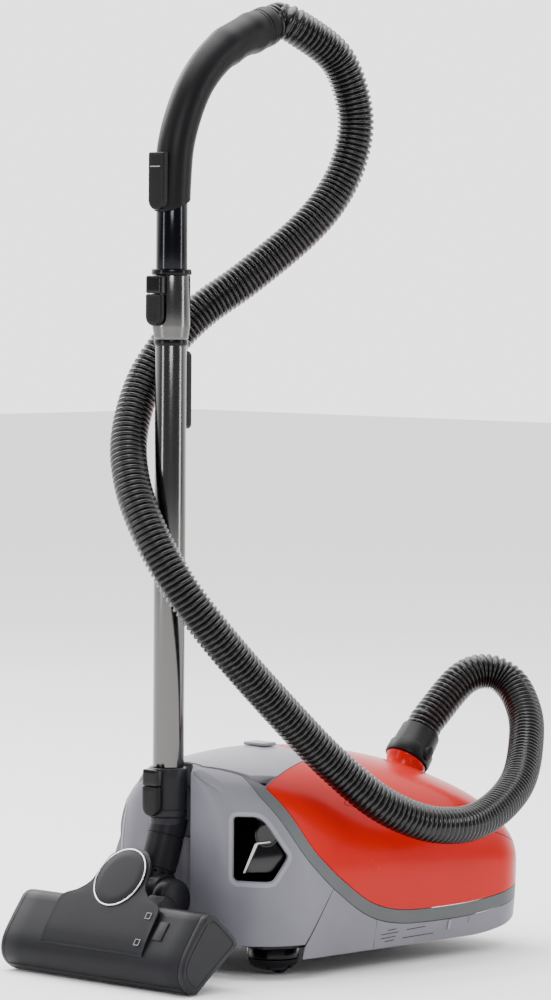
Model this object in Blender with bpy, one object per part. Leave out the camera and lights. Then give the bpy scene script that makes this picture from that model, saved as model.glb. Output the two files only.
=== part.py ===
"""Canister vacuum cleaner, stored upright with its wand standing in the rear groove.

Metres, +Z up, +X towards the nose of the canister, +Y to its left. The origin is on
the floor, midway between the front edge of the floor head and the nose.
"""
import math

import bmesh
import bpy
from mathutils import Matrix, Vector

# ---- driving dimensions --------------------------------------------------------
GAP = 0.0003                 # clearance between faces that touch
BODY_LENGTH = 0.464
HEAD_REACH = 0.130           # floor head's front edge to the canister's rear
OVERALL_LENGTH = BODY_LENGTH + HEAD_REACH
WAND_X = OVERALL_LENGTH / 2 - BODY_LENGTH - 0.0094      # axis of the wand
BODY_HALF_WIDTH = 0.143
BODY_NOSE = OVERALL_LENGTH / 2
BODY_REAR = BODY_NOSE - BODY_LENGTH
REAR_CORNER = 0.078          # plan radius of the rear corners
NOSE_CORNER = 0.070          # plan radius of the nose corners
SHOULDER_Z = 0.100           # height where the sides start to curve inwards
SKIRT_Z = 0.022              # bottom edge of the skirt
HOUSING_Z = 0.038            # bottom edge of the rear housing
WALL = 0.003                 # moulded wall
BAND_WIDTH = 0.0155          # grey band below the red bonnet
GROOVE_RADIUS = 0.028        # parking groove for the wand's collar

TUBE_R = 0.0175              # steel wand tube, outside
TUBE_WALL = 0.0012
INNER_TUBE_R = TUBE_R - 0.0020
SLIDE_CLEARANCE = 0.0004
COLLAR_R = TUBE_R + 0.00375
COLLAR_Z = (0.176, 0.231)
SOCKET_Z = (0.708, 0.779)
TELESCOPE_TRAVEL = 0.330
HANDLE_R = TUBE_R + 0.0030
HOSE_R = 0.021
HANDLE_END_R = HOSE_R + 0.0015

CUFF_R = HOSE_R + 0.005
NECK_ANGLE = math.radians(51.0)
NECK_LENGTH = 0.036
CUFF_LENGTH = 0.042

CASTOR_R = 0.029
WHEEL_R = 0.0120
WHEEL_WIDTH = 0.014
CASTOR_TRAIL = 0.009
REAR_CASTORS = (0.084, 0.084)     # distance from the wand's axis, and to each side
TRAY_Z = (0.034, 0.041)

HEAD_TILT = math.radians(37.3)
HEAD_HALF_WIDTH = 0.145
HEAD_WALL = 0.0025
BRUSH_R = 0.0155

PEDAL_SIZE = (0.052, 0.011, 0.0065)
HANDLE_HALF_WIDTH = 0.0828

# Height of the body's ridge at distances behind the nose, from the rear face on.
RIDGE = [(0.0, 0.232), (0.05, 0.239), (0.12, 0.245), (0.18, 0.243), (0.25, 0.235),
         (0.314, 0.222), (0.360, 0.208), (0.400, 0.192), (0.425, 0.178), (0.445, 0.160),
         (0.458, 0.138), (0.464, 0.112)]
def lengthwise(along):
    """Distance from the wand's axis, drawn out with the canister ahead of the handle."""
    return along if along < 0.17 else 0.17 + (along - 0.17) * (BODY_LENGTH - 0.1606) / (0.464 - 0.1606)


# Lower edge of the red bonnet seen from the side: distance from the wand, height.
BONNET_EDGE = [(0.063, 0.207), (0.085, 0.153), (0.109, 0.126), (0.137, 0.104), (0.179, 0.078),
               (0.222, 0.065), (0.276, 0.061), (0.357, 0.062), (0.420, 0.070), (0.490, 0.088)]
BONNET_EDGE = [(lengthwise(x), z) for x, z in BONNET_EDGE]
LID_EDGE = [(0.165, 0.190), (0.172, 0.184), (0.300, 0.163), (0.400, 0.138), (0.490, 0.104)]
LID_EDGE = [(lengthwise(x), z) for x, z in LID_EDGE]
NECK_BASE = Vector((WAND_X + lengthwise(0.372), 0.0, 0.182 + 0.06 * (lengthwise(0.372) - 0.372)))
FRONT_CASTOR = lengthwise(0.345)


# ---- building blocks ---------------------------------------------------------
def material(name, color, roughness, metallic=0.0):
    found = bpy.data.materials.get(name)
    if found:
        return found
    found = bpy.data.materials.new(name)
    found.use_nodes = True
    shader = found.node_tree.nodes["Principled BSDF"]
    shader.inputs["Base Color"].default_value = (*color, 1.0)
    shader.inputs["Roughness"].default_value = roughness
    shader.inputs["Metallic"].default_value = metallic
    return found


def finish_of(slot):
    finishes = {
        "red_gloss": ((0.62, 0.02, 0.015), 0.18, 0.0),
        "grey_shell": ((0.30, 0.30, 0.33), 0.38, 0.0),
        "grey_band": ((0.20, 0.21, 0.22), 0.40, 0.0),
        "dark_plastic": ((0.045, 0.045, 0.050), 0.45, 0.0),
        "black_gloss": ((0.010, 0.010, 0.012), 0.15, 0.0),
        "steel": ((0.62, 0.62, 0.63), 0.22, 1.0),
        "dark_chrome": ((0.14, 0.14, 0.15), 0.20, 1.0),
        "clear": ((0.06, 0.06, 0.065), 0.10, 0.0),
        "hose": ((0.03, 0.03, 0.03), 0.25, 0.0),
        "rubber": ((0.02, 0.02, 0.02), 0.80, 0.0),
        "filter": ((0.75, 0.74, 0.70), 0.95, 0.0),
        "circuit": ((0.03, 0.20, 0.08), 0.50, 0.0),
    }
    color, roughness, metallic = finishes[slot]
    return material(slot, color, roughness, metallic)


def add_object(name, bm, slot, smooth=True):
    mesh = bpy.data.meshes.new(name)
    bm.to_mesh(mesh)
    bm.free()
    if smooth:
        mesh.shade_smooth()
        mesh.set_sharp_from_angle(angle=math.radians(40))
    obj = bpy.data.objects.new(name, mesh)
    bpy.context.scene.collection.objects.link(obj)
    if slot:
        mesh.materials.append(finish_of(slot))
    else:
        obj.hide_render = True
        obj.display_type = 'WIRE'
    return obj


def turn_to(axis, centre):
    """Matrix that takes local +Z to axis and the origin to centre."""
    turn = Vector((0, 0, 1)).rotation_difference(Vector(axis)).to_matrix().to_4x4()
    return Matrix.Translation(Vector(centre)) @ turn


def turned(name, slot, profile, centre, axis=(0, 0, 1), steps=28, scale_y=1.0):
    """Solid or ring of revolution from a closed profile of (radius, height) points."""
    bm = bmesh.new()
    verts = [bm.verts.new((r, 0.0, h)) for r, h in profile]
    pairs = zip(verts, verts[1:] + verts[:1])
    edges = [bm.edges.new(p) for p in pairs if p[0].co.x > 1e-9 or p[1].co.x > 1e-9]
    bmesh.ops.spin(bm, geom=verts + edges, axis=(0, 0, 1), cent=(0, 0, 0),
                   angle=2 * math.pi, steps=steps, use_merge=True)
    bmesh.ops.remove_doubles(bm, verts=bm.verts, dist=1e-6)
    bmesh.ops.scale(bm, vec=(1.0, scale_y, 1.0), verts=bm.verts)
    bmesh.ops.recalc_face_normals(bm, faces=bm.faces)
    bm.transform(turn_to(axis, centre))
    return add_object(name, bm, slot)


def tube(name, slot, outer, inner, low, high, centre, axis=(0, 0, 1), steps=28, chamfer=0.0):
    profile = [(inner, low), (outer - chamfer, low), (outer, low + chamfer),
               (outer, high - chamfer), (outer - chamfer, high), (inner, high)]
    if chamfer == 0.0:
        profile = [(inner, low), (outer, low), (outer, high), (inner, high)]
    return turned(name, slot, profile, centre, axis, steps)


def disc(name, slot, radius, low, high, centre, axis=(0, 0, 1), steps=28, chamfer=0.0):
    profile = [(0.0, low), (radius - chamfer, low), (radius, low + chamfer),
               (radius, high - chamfer), (radius - chamfer, high), (0.0, high)]
    if chamfer == 0.0:
        profile = [(0.0, low), (radius, low), (radius, high), (0.0, high)]
    return turned(name, slot, profile, centre, axis, steps)


def block(name, slot, low, high, bevel=0.0, segments=2):
    """Box between two corners, with its edges rounded."""
    bm = bmesh.new()
    bmesh.ops.create_cube(bm, size=1.0)
    size = [b - a for a, b in zip(low, high)]
    middle = [(a + b) / 2 for a, b in zip(low, high)]
    bmesh.ops.scale(bm, vec=size, verts=bm.verts)
    bmesh.ops.translate(bm, vec=middle, verts=bm.verts)
    if bevel:
        bmesh.ops.bevel(bm, geom=bm.edges, offset=bevel, segments=segments,
                        affect='EDGES', profile=0.5, material=-1)
    return add_object(name, bm, slot)


def prism(name, slot, outline, low, high, along='Y', bevel=0.0):
    """Outline of flat points pushed from low to high along one axis."""
    place = {'Y': lambda a, b, c: (a, c, b), 'Z': lambda a, b, c: (a, b, c),
             'X': lambda a, b, c: (c, a, b)}[along]
    bm = bmesh.new()
    face = bm.faces.new([bm.verts.new(place(a, b, low)) for a, b in outline])
    grown = bmesh.ops.extrude_face_region(bm, geom=[face])
    moved = [v for v in grown['geom'] if isinstance(v, bmesh.types.BMVert)]
    bmesh.ops.translate(bm, vec=place(0.0, 0.0, high - low), verts=moved)
    bmesh.ops.recalc_face_normals(bm, faces=bm.faces)
    if bevel:
        bmesh.ops.bevel(bm, geom=bm.edges, offset=bevel, segments=2,
                        affect='EDGES', profile=0.5, material=-1)
    return add_object(name, bm, slot)


def loft(name, slot, sections):
    """Skin over closed sections that hold the same number of points."""
    bm = bmesh.new()
    rings = [[bm.verts.new(p) for p in section] for section in sections]
    count = len(rings[0])
    for ring, following in zip(rings, rings[1:]):
        for i in range(count):
            j = (i + 1) % count
            bm.faces.new((ring[i], ring[j], following[j], following[i]))
    bm.faces.new(rings[0])
    bm.faces.new(rings[-1])
    bmesh.ops.recalc_face_normals(bm, faces=bm.faces)
    return add_object(name, bm, slot)


def combine(obj, other, operation='DIFFERENCE'):
    modifier = obj.modifiers.new(operation.lower(), 'BOOLEAN')
    modifier.operation = operation
    modifier.solver = 'EXACT'
    modifier.object = other
    return obj


def smooth_curve(points, per_span=3):
    """Points on a Catmull-Rom curve through the given ones."""
    pts = [Vector(p) for p in points]
    ends = [2 * pts[0] - pts[1]] + pts + [2 * pts[-1] - pts[-2]]
    out = []
    for a, b, c, d in zip(ends, ends[1:], ends[2:], ends[3:]):
        for k in range(per_span):
            t = k / per_span
            out.append(0.5 * (2 * b + (c - a) * t + (2 * a - 5 * b + 4 * c - d) * t * t
                              + (3 * b - a - 3 * c + d) * t ** 3))
    return out + [pts[-1]]


def between(table, x):
    """Value at x on the straight pieces of a table of (x, value)."""
    if x <= table[0][0]:
        return table[0][1]
    for (xa, a), (xb, b) in zip(table, table[1:]):
        if x <= xb:
            return a + (b - a) * (x - xa) / (xb - xa)
    return table[-1][1]


# ---- the canister's shape ----------------------------------------------------
def half_width(x, grow):
    """Half of the plan width at x, for the outer shape moved out by grow."""
    rear = BODY_REAR - grow
    nose = BODY_NOSE + grow
    width = BODY_HALF_WIDTH + grow
    for end, radius in ((x - rear, REAR_CORNER + grow), (nose - x, NOSE_CORNER + grow)):
        if end < radius:
            width = min(width, BODY_HALF_WIDTH + grow - radius
                        + math.sqrt(max(0.0, radius ** 2 - (radius - end) ** 2)))
    return width


def skirt_height(x):
    rise = max(0.0, x - (WAND_X + 0.350)) / (BODY_NOSE - (WAND_X + 0.350))
    return SKIRT_Z + 0.025 * rise ** 2


def body_section(x, grow, floor_drop, arc_points=9):
    """Closed cross-section of the canister at x: an arched top on upright sides."""
    width = half_width(x, grow)
    stretch = 0.464 / (BODY_LENGTH + 2 * grow)
    ridge = between(RIDGE, (x - BODY_REAR + grow) * stretch) + grow
    bottom = skirt_height(x) - floor_drop
    rise = ridge - SHOULDER_Z
    half = []
    for i in range(arc_points + 1):
        angle = math.pi / 2 * i / arc_points
        half.append((width * math.cos(angle) ** 0.91, SHOULDER_Z + rise * math.sin(angle) ** 0.91))
    right = [(x, -y, z) for y, z in half[:-1]]
    top = [(x, 0.0, ridge)]
    left = [(x, y, z) for y, z in reversed(half[:-1])]
    foot = 0.97 * width
    low = [(x, foot, bottom), (x, -foot, bottom)]
    return right + top + left + low


def body_envelope(name, grow=0.0, floor_drop=0.0):
    rear = BODY_REAR - grow
    nose = BODY_NOSE + grow
    steps = [0.0, 0.004, 0.012, 0.025, 0.045, 0.070, 0.105, 0.145, 0.185, 0.225, 0.265, 0.305,
             0.345, 0.380, 0.405, 0.425, 0.441, 0.453, 0.460, 0.464]
    stretch = (nose - rear) / BODY_LENGTH
    sections = [body_section(rear + s * stretch, grow, floor_drop) for s in steps]
    return loft(name, None, sections)


def inset(outline, distance):
    """Outline moved inwards by distance; the points run anticlockwise."""
    moved = []
    count = len(outline)
    for i in range(count):
        before = Vector(outline[i - 1])
        here = Vector(outline[i])
        after = Vector(outline[(i + 1) % count])
        first = (here - before).normalized()
        second = (after - here).normalized()
        normal = Vector((-first.y - second.y, first.x + second.x)).normalized()
        spread = max(0.3, normal.dot(Vector((-first.y, first.x))))
        moved.append(tuple(here + normal * distance / spread))
    return moved


def shifted(table, distance):
    """A table's line moved sideways by distance, to its right."""
    moved = []
    for i, here in enumerate(table):
        before = Vector(table[max(0, i - 1)])
        after = Vector(table[min(len(table) - 1, i + 1)])
        way = (after - before).normalized()
        moved.append((here[0] + way.y * distance, here[1] - way.x * distance))
    return moved


def from_wand(points):
    return [(WAND_X + a, b) for a, b in points]


def side_region(name, outline):
    half = BODY_HALF_WIDTH + 0.02
    return prism(name, None, inset(from_wand(outline), GAP / 2), -half, half)


def shell(name, slot, hollow, groove, outer, region, cutters=()):
    """One moulding of the canister: its skin, less the cutters, cut to a region."""
    piece = outer.copy()
    piece.data = outer.data.copy()
    piece.name = name
    piece.hide_render = False
    piece.display_type = 'TEXTURED'
    piece.data.materials.append(finish_of(slot))
    bpy.context.scene.collection.objects.link(piece)
    combine(piece, groove)
    combine(piece, hollow)
    for cutter in cutters:
        combine(piece, cutter)
    combine(piece, region, 'INTERSECT')
    return piece


# ---- the canister ------------------------------------------------------------
def hexagon_outline(shrink):
    """Plan of the recess for the carrying handle."""
    half = [(0.026, 0.0295), (0.063, 0.091), (0.164, 0.062)]
    right = [(WAND_X + a, -b) for a, b in half]
    left = [(WAND_X + a, b) for a, b in reversed(half)]
    return inset(right + left, shrink)


def build_canister_shells():
    outer = body_envelope("outer_shape")
    groove = disc("groove_cutter", None, GROOVE_RADIUS, 0.0, 0.35, (WAND_X, 0, 0), steps=32)
    groove_wall = disc("groove_wall", None, GROOVE_RADIUS + WALL, -0.05, 0.40, (WAND_X, 0, 0), steps=32)
    hollow = body_envelope("hollow_shape", grow=-WALL, floor_drop=0.040)
    combine(hollow, groove_wall)

    edge = BONNET_EDGE
    band_edge = shifted(edge, BAND_WIDTH)
    high = 0.300
    recess = prism("recess_cutter", None, hexagon_outline(-GAP), 0.150, high, 'Z')

    bonnet_zone = [(0.063, high)] + edge + [(lengthwise(0.490), high)]
    lid_zone = LID_EDGE + [(lengthwise(0.490), high), (0.165, high)]
    lid_space = prism("lid_zone_cutter", None, inset(from_wand(lid_zone), -GAP / 2), -0.17, 0.17)
    shell("bonnet", "red_gloss", hollow, groove, outer, side_region("bonnet_zone", bonnet_zone),
          [recess, lid_space])

    band_zone = band_edge + list(reversed(edge))
    band_zone = [(band_edge[0][0], high)] + band_zone + [(edge[0][0], high)]
    shell("trim_band", "grey_band", hollow, groove, outer, side_region("band_zone", band_zone), [recess])

    seam = [(0.124, 0.089), (0.077, 0.035), (0.072, 0.000)]
    over = next(i for i, p in enumerate(band_edge) if p[0] > 0.119)
    joint = (0.119, between(band_edge, 0.119))
    rear_zone = [(-0.03, HOUSING_Z), (seam[1][0], HOUSING_Z), joint]
    rear_zone += list(reversed(band_edge[:over])) + [(band_edge[0][0], high), (-0.03, high)]
    shell("rear_housing", "grey_shell", hollow, groove, outer, side_region("rear_zone", rear_zone),
          [recess] + window_cutters() + pedal_rooms())

    skirt_zone = [(seam[2][0], 0.0), (lengthwise(0.490), 0.0), band_edge[-1]]
    skirt_zone += list(reversed(band_edge[over:-1])) + [joint, seam[1]]
    shell("chassis_skirt", "grey_shell", hollow, groove, outer, side_region("skirt_zone", skirt_zone))

    lid = shell("hood_lid", "red_gloss", hollow, groove, outer, side_region("lid_zone", lid_zone))
    build_neck(lid)
    build_carry_handle(outer, groove)
    return hollow


def window_cutters():
    """Six-sided window on each rounded rear corner, in front of the dust container."""
    outline = [(-0.036, 0.182), (-0.012, 0.182), (0.000, 0.176), (0.026, 0.137), (0.010, 0.110),
               (-0.034, 0.109)]
    cutters = []
    for side, name in ((-1, "window_cutter_right"), (1, "window_cutter_left")):
        bm = bmesh.new()
        corner = Vector((BODY_REAR + REAR_CORNER, side * (BODY_HALF_WIDTH - REAR_CORNER), 0.0))
        tangent = Vector((1, side, 0)).normalized()
        outward = Vector((-1, side, 0)).normalized()
        ring = [bm.verts.new(corner + tangent * a + outward * 0.045 + Vector((0, 0, z))) for a, z in outline]
        face = bm.faces.new(ring)
        grown = bmesh.ops.extrude_face_region(bm, geom=[face])
        moved = [v for v in grown['geom'] if isinstance(v, bmesh.types.BMVert)]
        bmesh.ops.translate(bm, vec=outward * 0.06, verts=moved)
        bmesh.ops.recalc_face_normals(bm, faces=bm.faces)
        cutters.append(add_object(name, bm, None))
    return cutters


def pedal_rooms():
    return [pedal_shape("pedal_room_" + name, None, side, 4 * GAP, -0.020, 0.020)
            for side, name in ((-1, "right"), (1, "left"))]


def neck_axis():
    return Vector((math.cos(NECK_ANGLE), 0.0, math.sin(NECK_ANGLE)))


def build_neck(lid):
    """Waisted inlet neck on the lid, with the air passage through it."""
    axis = neck_axis()
    profile = [(0.0, -0.022), (0.030, -0.022), (0.0255, -0.004), (0.0205, 0.008), (0.0195, 0.018),
               (0.0215, 0.028), (0.0250, NECK_LENGTH), (0.0, NECK_LENGTH)]
    neck = turned("neck_shape", None, profile, NECK_BASE, axis, steps=24)
    combine(lid, neck, 'UNION')
    bore = disc("inlet_cutter", None, 0.0165, -0.080, 0.080, NECK_BASE, axis, steps=20)
    combine(lid, bore)


def build_carry_handle(outer, groove):
    """Grey bridge over the recess, and the recess's own tray."""
    under = body_envelope("handle_under", grow=-0.007, floor_drop=0.040)
    half = [(0.0285, 0.0275), (0.058, 0.071), (0.0885, HANDLE_HALF_WIDTH), (0.164 - GAP, 0.0612)]
    outline = [(WAND_X + a, -b) for a, b in half] + [(WAND_X + a, b) for a, b in reversed(half)]
    zone = prism("handle_zone", None, outline, 0.150, 0.300, 'Z')
    shell("carry_handle", "grey_shell", under, groove, outer, zone)
    tray_outer = body_envelope("tray_outer", grow=-0.024)
    tray_inner = body_envelope("tray_inner", grow=-0.027, floor_drop=0.040)
    tray_zone = prism("tray_zone", None, hexagon_outline(GAP), 0.150, 0.300, 'Z')
    tray_groove = disc("tray_groove", None, GROOVE_RADIUS + WALL + GAP, 0.0, 0.35, (WAND_X, 0, 0))
    shell("handle_tray", "dark_plastic", tray_inner, tray_groove, tray_outer, tray_zone)


def build_tray_and_castors():
    """Base tray under the skirt, and three swivel castors."""
    margin = WALL + 0.004
    outline = []
    front = WAND_X + 0.395
    steps = 14
    low = BODY_REAR + margin + 0.022
    for i in range(steps + 1):
        x = low + (front - low) * i / steps
        outline.append((x, -0.965 * half_width(x, -margin)))
    outline += [(x, -y) for x, y in reversed(outline)]
    tray = prism("base_tray", "dark_plastic", outline, TRAY_Z[0], TRAY_Z[1], 'Z')
    places = {
        "rear_right": (WAND_X + REAR_CASTORS[0], -REAR_CASTORS[1]),
        "rear_left": (WAND_X + REAR_CASTORS[0], REAR_CASTORS[1]),
        "front": (WAND_X + FRONT_CASTOR, 0.0),
    }
    pin = 0.0045
    for place, (x, y) in places.items():
        hole = disc("hole_" + place, None, pin + GAP, 0.0, 0.1, (x, y, 0), steps=16)
        combine(tray, hole)
        top = TRAY_Z[0] - GAP
        profile = [(0.0, 0.0070), (0.018, 0.0070), (CASTOR_R - 0.003, 0.0110), (CASTOR_R, 0.0170),
                   (CASTOR_R, top - 0.003), (CASTOR_R - 0.002, top), (pin, top), (pin, TRAY_Z[1]),
                   (0.0, TRAY_Z[1])]
        fork = turned("castor_fork_" + place, "dark_plastic", profile, (x, y, 0), steps=24)
        wheel_x = x + CASTOR_TRAIL
        slot = (WHEEL_R + 0.0015, WHEEL_WIDTH / 2 + 0.0008)
        combine(fork, block("wheel_room_" + place, None, (wheel_x - slot[0], y - slot[1], -0.01),
                            (wheel_x + slot[0], y + slot[1], WHEEL_R + slot[0])))
        axle = 0.0020
        combine(fork, disc("axle_shape_" + place, None, axle, -0.0120, 0.0120, (wheel_x, y, WHEEL_R),
                           (0, 1, 0), steps=12), 'UNION')
        tube("castor_wheel_" + place, "rubber", WHEEL_R, axle + GAP, -WHEEL_WIDTH / 2, WHEEL_WIDTH / 2,
             (wheel_x, y, WHEEL_R), (0, 1, 0), steps=24, chamfer=0.002)


def build_inside():
    """Dust container behind the windows, motor, fan, filters and cord reel."""
    box = (WAND_X + 0.093, 0.0, 0.128)
    tube("dust_container", "clear", 0.046, 0.0435, -0.084, 0.084, box, (0, 1, 0), steps=32)
    for side, sign in (("right", -1), ("left", 1)):
        disc("container_cap_" + side, "clear", 0.046, 0.0, 0.010, (box[0], sign * (0.084 + GAP), box[2]),
             (0, sign, 0), steps=32, chamfer=0.003)
    tube("cyclone_core", "black_gloss", 0.024, 0.018, -0.080, 0.080, box, (0, 1, 0), steps=20)
    block("motor_filter", "filter", (WAND_X + 0.150, -0.050, 0.085), (WAND_X + 0.165, 0.050, 0.180), 0.002)
    motor = (WAND_X + 0.178, 0.0, 0.130)
    tube("motor_housing", "dark_plastic", 0.052, 0.0485, 0.0, 0.085, motor, (1, 0, 0), steps=28)
    disc("motor", "steel", 0.036, 0.004, 0.060, motor, (1, 0, 0), steps=24, chamfer=0.003)
    fan = turned("suction_fan", "steel", [(0.0, 0.064), (0.045, 0.064), (0.045, 0.067), (0.012, 0.074),
                                          (0.0, 0.074)], motor, (1, 0, 0), steps=24)
    fan.name = "suction_fan"
    reel = (WAND_X + 0.330, 0.0, 0.060)
    profile = [(0.006, 0.0), (0.052, 0.0), (0.052, 0.003), (0.022, 0.006), (0.022, 0.026),
               (0.052, 0.029), (0.052, 0.032), (0.006, 0.032)]
    turned("cord_reel", "dark_plastic", profile, reel, steps=28)
    disc("reel_spindle", "steel", 0.0055, TRAY_Z[1] - reel[2] + GAP, 0.036, reel, steps=12)
    block("circuit_board", "circuit", (WAND_X + 0.205, -0.045, 0.050), (WAND_X + 0.262, 0.045, 0.052))


def pedal_frame(side):
    """Place and turn of a foot pedal on the arch behind the carrying handle."""
    along = Vector((0.30, side * 0.78, -0.55)).normalized()
    rough = Vector((-0.55, side * 0.35, 0.76))
    normal = (rough - along * rough.dot(along)).normalized()
    across = normal.cross(along)
    turn = Matrix((along, across, normal)).transposed().to_4x4()
    return Matrix.Translation((WAND_X + 0.0185, side * 0.055, 0.2165)) @ turn


def pedal_shape(name, slot, side, extra, low, high):
    bm = bmesh.new()
    bmesh.ops.create_cube(bm, size=1.0)
    bmesh.ops.scale(bm, vec=(PEDAL_SIZE[0] + extra, PEDAL_SIZE[1] + extra, high - low), verts=bm.verts)
    bmesh.ops.translate(bm, vec=(0, 0, (low + high) / 2), verts=bm.verts)
    bmesh.ops.bevel(bm, geom=bm.edges, offset=0.0018, segments=2, affect='EDGES', profile=0.5, material=-1)
    bm.transform(pedal_frame(side))
    return add_object(name, bm, slot)


def build_pedals_and_latch():
    """Two foot pedals on the rear arch and the lid's latch slide."""
    for side, name in ((-1, "power_pedal"), (1, "rewind_pedal")):
        pedal_shape(name, "grey_shell", side, 0.0, -PEDAL_SIZE[2] / 2, PEDAL_SIZE[2] / 2)
    block("lid_latch", "grey_shell", (WAND_X + 0.136, -0.016, 0.2455), (WAND_X + 0.158, 0.016, 0.2495), 0.0012)


# ---- hose -----------------------------------------------------------------------
def handle_path():
    """Centre line of the grip, from the tail tube to the hose collar."""
    route = [(0.0, 0.849), (0.001, 0.880), (0.006, 0.925), (0.0215, 0.967), (0.041, 0.998),
             (0.068, 1.024), (0.099, 1.042), (0.135, 1.0555)]
    return [Vector((WAND_X + a, 0.0, z)) for a, z in route]


def collar_axis():
    return Vector((math.cos(math.radians(20)), 0.0, math.sin(math.radians(20))))


HOSE_ROUTE = [
    (0.181, -0.014, 1.061), (0.230, -0.032, 1.027), (0.252, -0.040, 0.975), (0.252, -0.040, 0.929),
    (0.233, -0.033, 0.879), (0.193, -0.021, 0.832), (0.128, 0.006, 0.777), (0.078, 0.030, 0.739),
    (0.040, 0.046, 0.700), (0.010, 0.054, 0.656), (-0.022, 0.043, 0.599), (-0.042, 0.017, 0.547),
    (-0.046, -0.015, 0.494), (-0.034, -0.046, 0.440), (-0.008, -0.070, 0.392), (0.029, -0.089, 0.344),
    (0.080, -0.110, 0.287), (0.124, -0.132, 0.238), (0.171, -0.160, 0.193), (0.222, -0.178, 0.168),
    (0.270, -0.185, 0.160),
]
HOSE_END_ROUTE = [
    (0.270, -0.185, 0.160), (0.320, -0.180, 0.162), (0.377, -0.166, 0.176), (0.432, -0.143, 0.197),
    (0.482, -0.110, 0.228), (0.518, -0.078, 0.262), (0.530, -0.046, 0.295), (0.515, -0.022, 0.310),
    (0.484, -0.007, 0.301),
]


def hose_start():
    return handle_path()[-1] + collar_axis() * (0.020 + GAP)


def hose_finish():
    return NECK_BASE + neck_axis() * (NECK_LENGTH + CUFF_LENGTH + 2 * GAP)


def hose_piece(name, points):
    curve = bpy.data.curves.new(name, 'CURVE')
    curve.dimensions = '3D'
    curve.bevel_depth = HOSE_R
    curve.bevel_resolution = 3
    curve.use_fill_caps = True
    spline = curve.splines.new('POLY')
    spline.points.add(len(points) - 1)
    for target, point in zip(spline.points, points):
        target.co = (*point, 1.0)
    curve.materials.append(finish_of("hose"))
    obj = bpy.data.objects.new(name, curve)
    bpy.context.scene.collection.objects.link(obj)
    return obj


def beside_body(along, y, z):
    """A point of the hose's route, kept clear of a wider canister or a thicker hose."""
    wider = (BODY_HALF_WIDTH - 0.143) + (HOSE_R - 0.021)
    return Vector((WAND_X + lengthwise(along), y - wider * min(1.0, max(0.0, (-y - 0.05) / 0.06)), z))


def build_hose():
    """Stretch hose from the grip to the inlet cuff, in two lengths that meet at its lowest point."""
    straight = 0.015 + 1.2 * (HOSE_R - 0.021)
    first = [beside_body(*point) for point in HOSE_ROUTE]
    second = [beside_body(*point) for point in HOSE_END_ROUTE]
    start = hose_start()
    finish = hose_finish()
    whole = [start + collar_axis() * straight] + first[:-1] + second + [finish + neck_axis() * straight]
    curve = smooth_curve(whole, 2)
    split = 2 * len(first)
    middle = curve[split]
    way = (curve[split + 1] - curve[split - 1]).normalized()
    hose_piece("hose_main", [start] + curve[:split] + [middle - way * straight, middle - way * GAP / 2])
    hose_piece("hose_end", [middle + way * GAP / 2, middle + way * straight] + curve[split + 1:] + [finish])


def build_cuff():
    """Hose cuff on the inlet neck, with a latch button on each side."""
    axis = neck_axis()
    base = NECK_BASE + axis * (NECK_LENGTH + GAP)
    profile = [(HOSE_R + 0.0005, 0.0), (CUFF_R, 0.0), (CUFF_R, 0.016), (HOSE_R + 0.0025, CUFF_LENGTH),
               (HOSE_R - 0.004, CUFF_LENGTH), (HOSE_R - 0.004, 0.034), (HOSE_R + 0.0005, 0.030)]
    turned("hose_cuff", "dark_plastic", profile, base, axis, steps=28)
    for side, sign in (("right", -1), ("left", 1)):
        centre = base + axis * 0.013 + Vector((0, sign * (CUFF_R + 0.0022), 0))
        disc("cuff_button_" + side, "dark_plastic", 0.0085, 0.0, 0.0025, centre, (0, sign, 0), steps=16,
             chamfer=0.0008)


# ---- wand ----------------------------------------------------------------------
def release_button(name, guard, surface, low, middle, high):
    """Press button and its guard on the rear side of a socket."""
    block(name, "dark_plastic", (WAND_X - surface - 0.0085, -0.0125, low),
          (WAND_X - surface - 0.0027, 0.0125, middle - GAP), 0.0025)
    block(guard, "black_gloss", (WAND_X - surface - 0.0075, -0.0115, middle + GAP),
          (WAND_X - surface - GAP, 0.0115, high), 0.0015)


def build_lower_wand():
    centre = (WAND_X, 0, 0)
    tube("inner_tube", "steel", INNER_TUBE_R, INNER_TUBE_R - TUBE_WALL, COLLAR_Z[0] + 0.012, 0.690, centre)
    bore = INNER_TUBE_R + GAP
    tube("neck_collar", "dark_plastic", COLLAR_R, bore, COLLAR_Z[0], COLLAR_Z[1], centre, chamfer=0.001)
    release_button("collar_button", "collar_guard", COLLAR_R, 0.178, 0.2115, 0.230)


def build_upper_wand():
    centre = (WAND_X, 0, 0)
    low = COLLAR_Z[1] + GAP
    tube("outer_tube", "steel", TUBE_R, INNER_TUBE_R + SLIDE_CLEARANCE, low, 0.742, centre)
    inner = TUBE_R + GAP
    profile = [(inner, SOCKET_Z[0]), (0.0190, SOCKET_Z[0]), (0.0210, SOCKET_Z[0] + 0.014),
               (0.0210, SOCKET_Z[1]), (inner, SOCKET_Z[1])]
    turned("wand_socket", "steel", profile, centre)
    tube("socket_ring", "black_gloss", 0.0225, inner, SOCKET_Z[1] + GAP, SOCKET_Z[1] + 0.007, centre)
    tube("socket_seal", "black_gloss", 0.0190, inner, SOCKET_Z[0] - 0.007, SOCKET_Z[0] - GAP, centre)
    release_button("socket_button", "socket_guard", 0.0210, 0.723, 0.7585, 0.7785)
    block("telescope_lever", "dark_plastic", (WAND_X + TUBE_R + GAP, -0.007, 0.608),
          (WAND_X + 0.0270, 0.007, 0.6950), 0.002)
    tube("tail_tube", "dark_chrome", TUBE_R, TUBE_R - TUBE_WALL, 0.742 + GAP, 0.866, centre)


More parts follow.
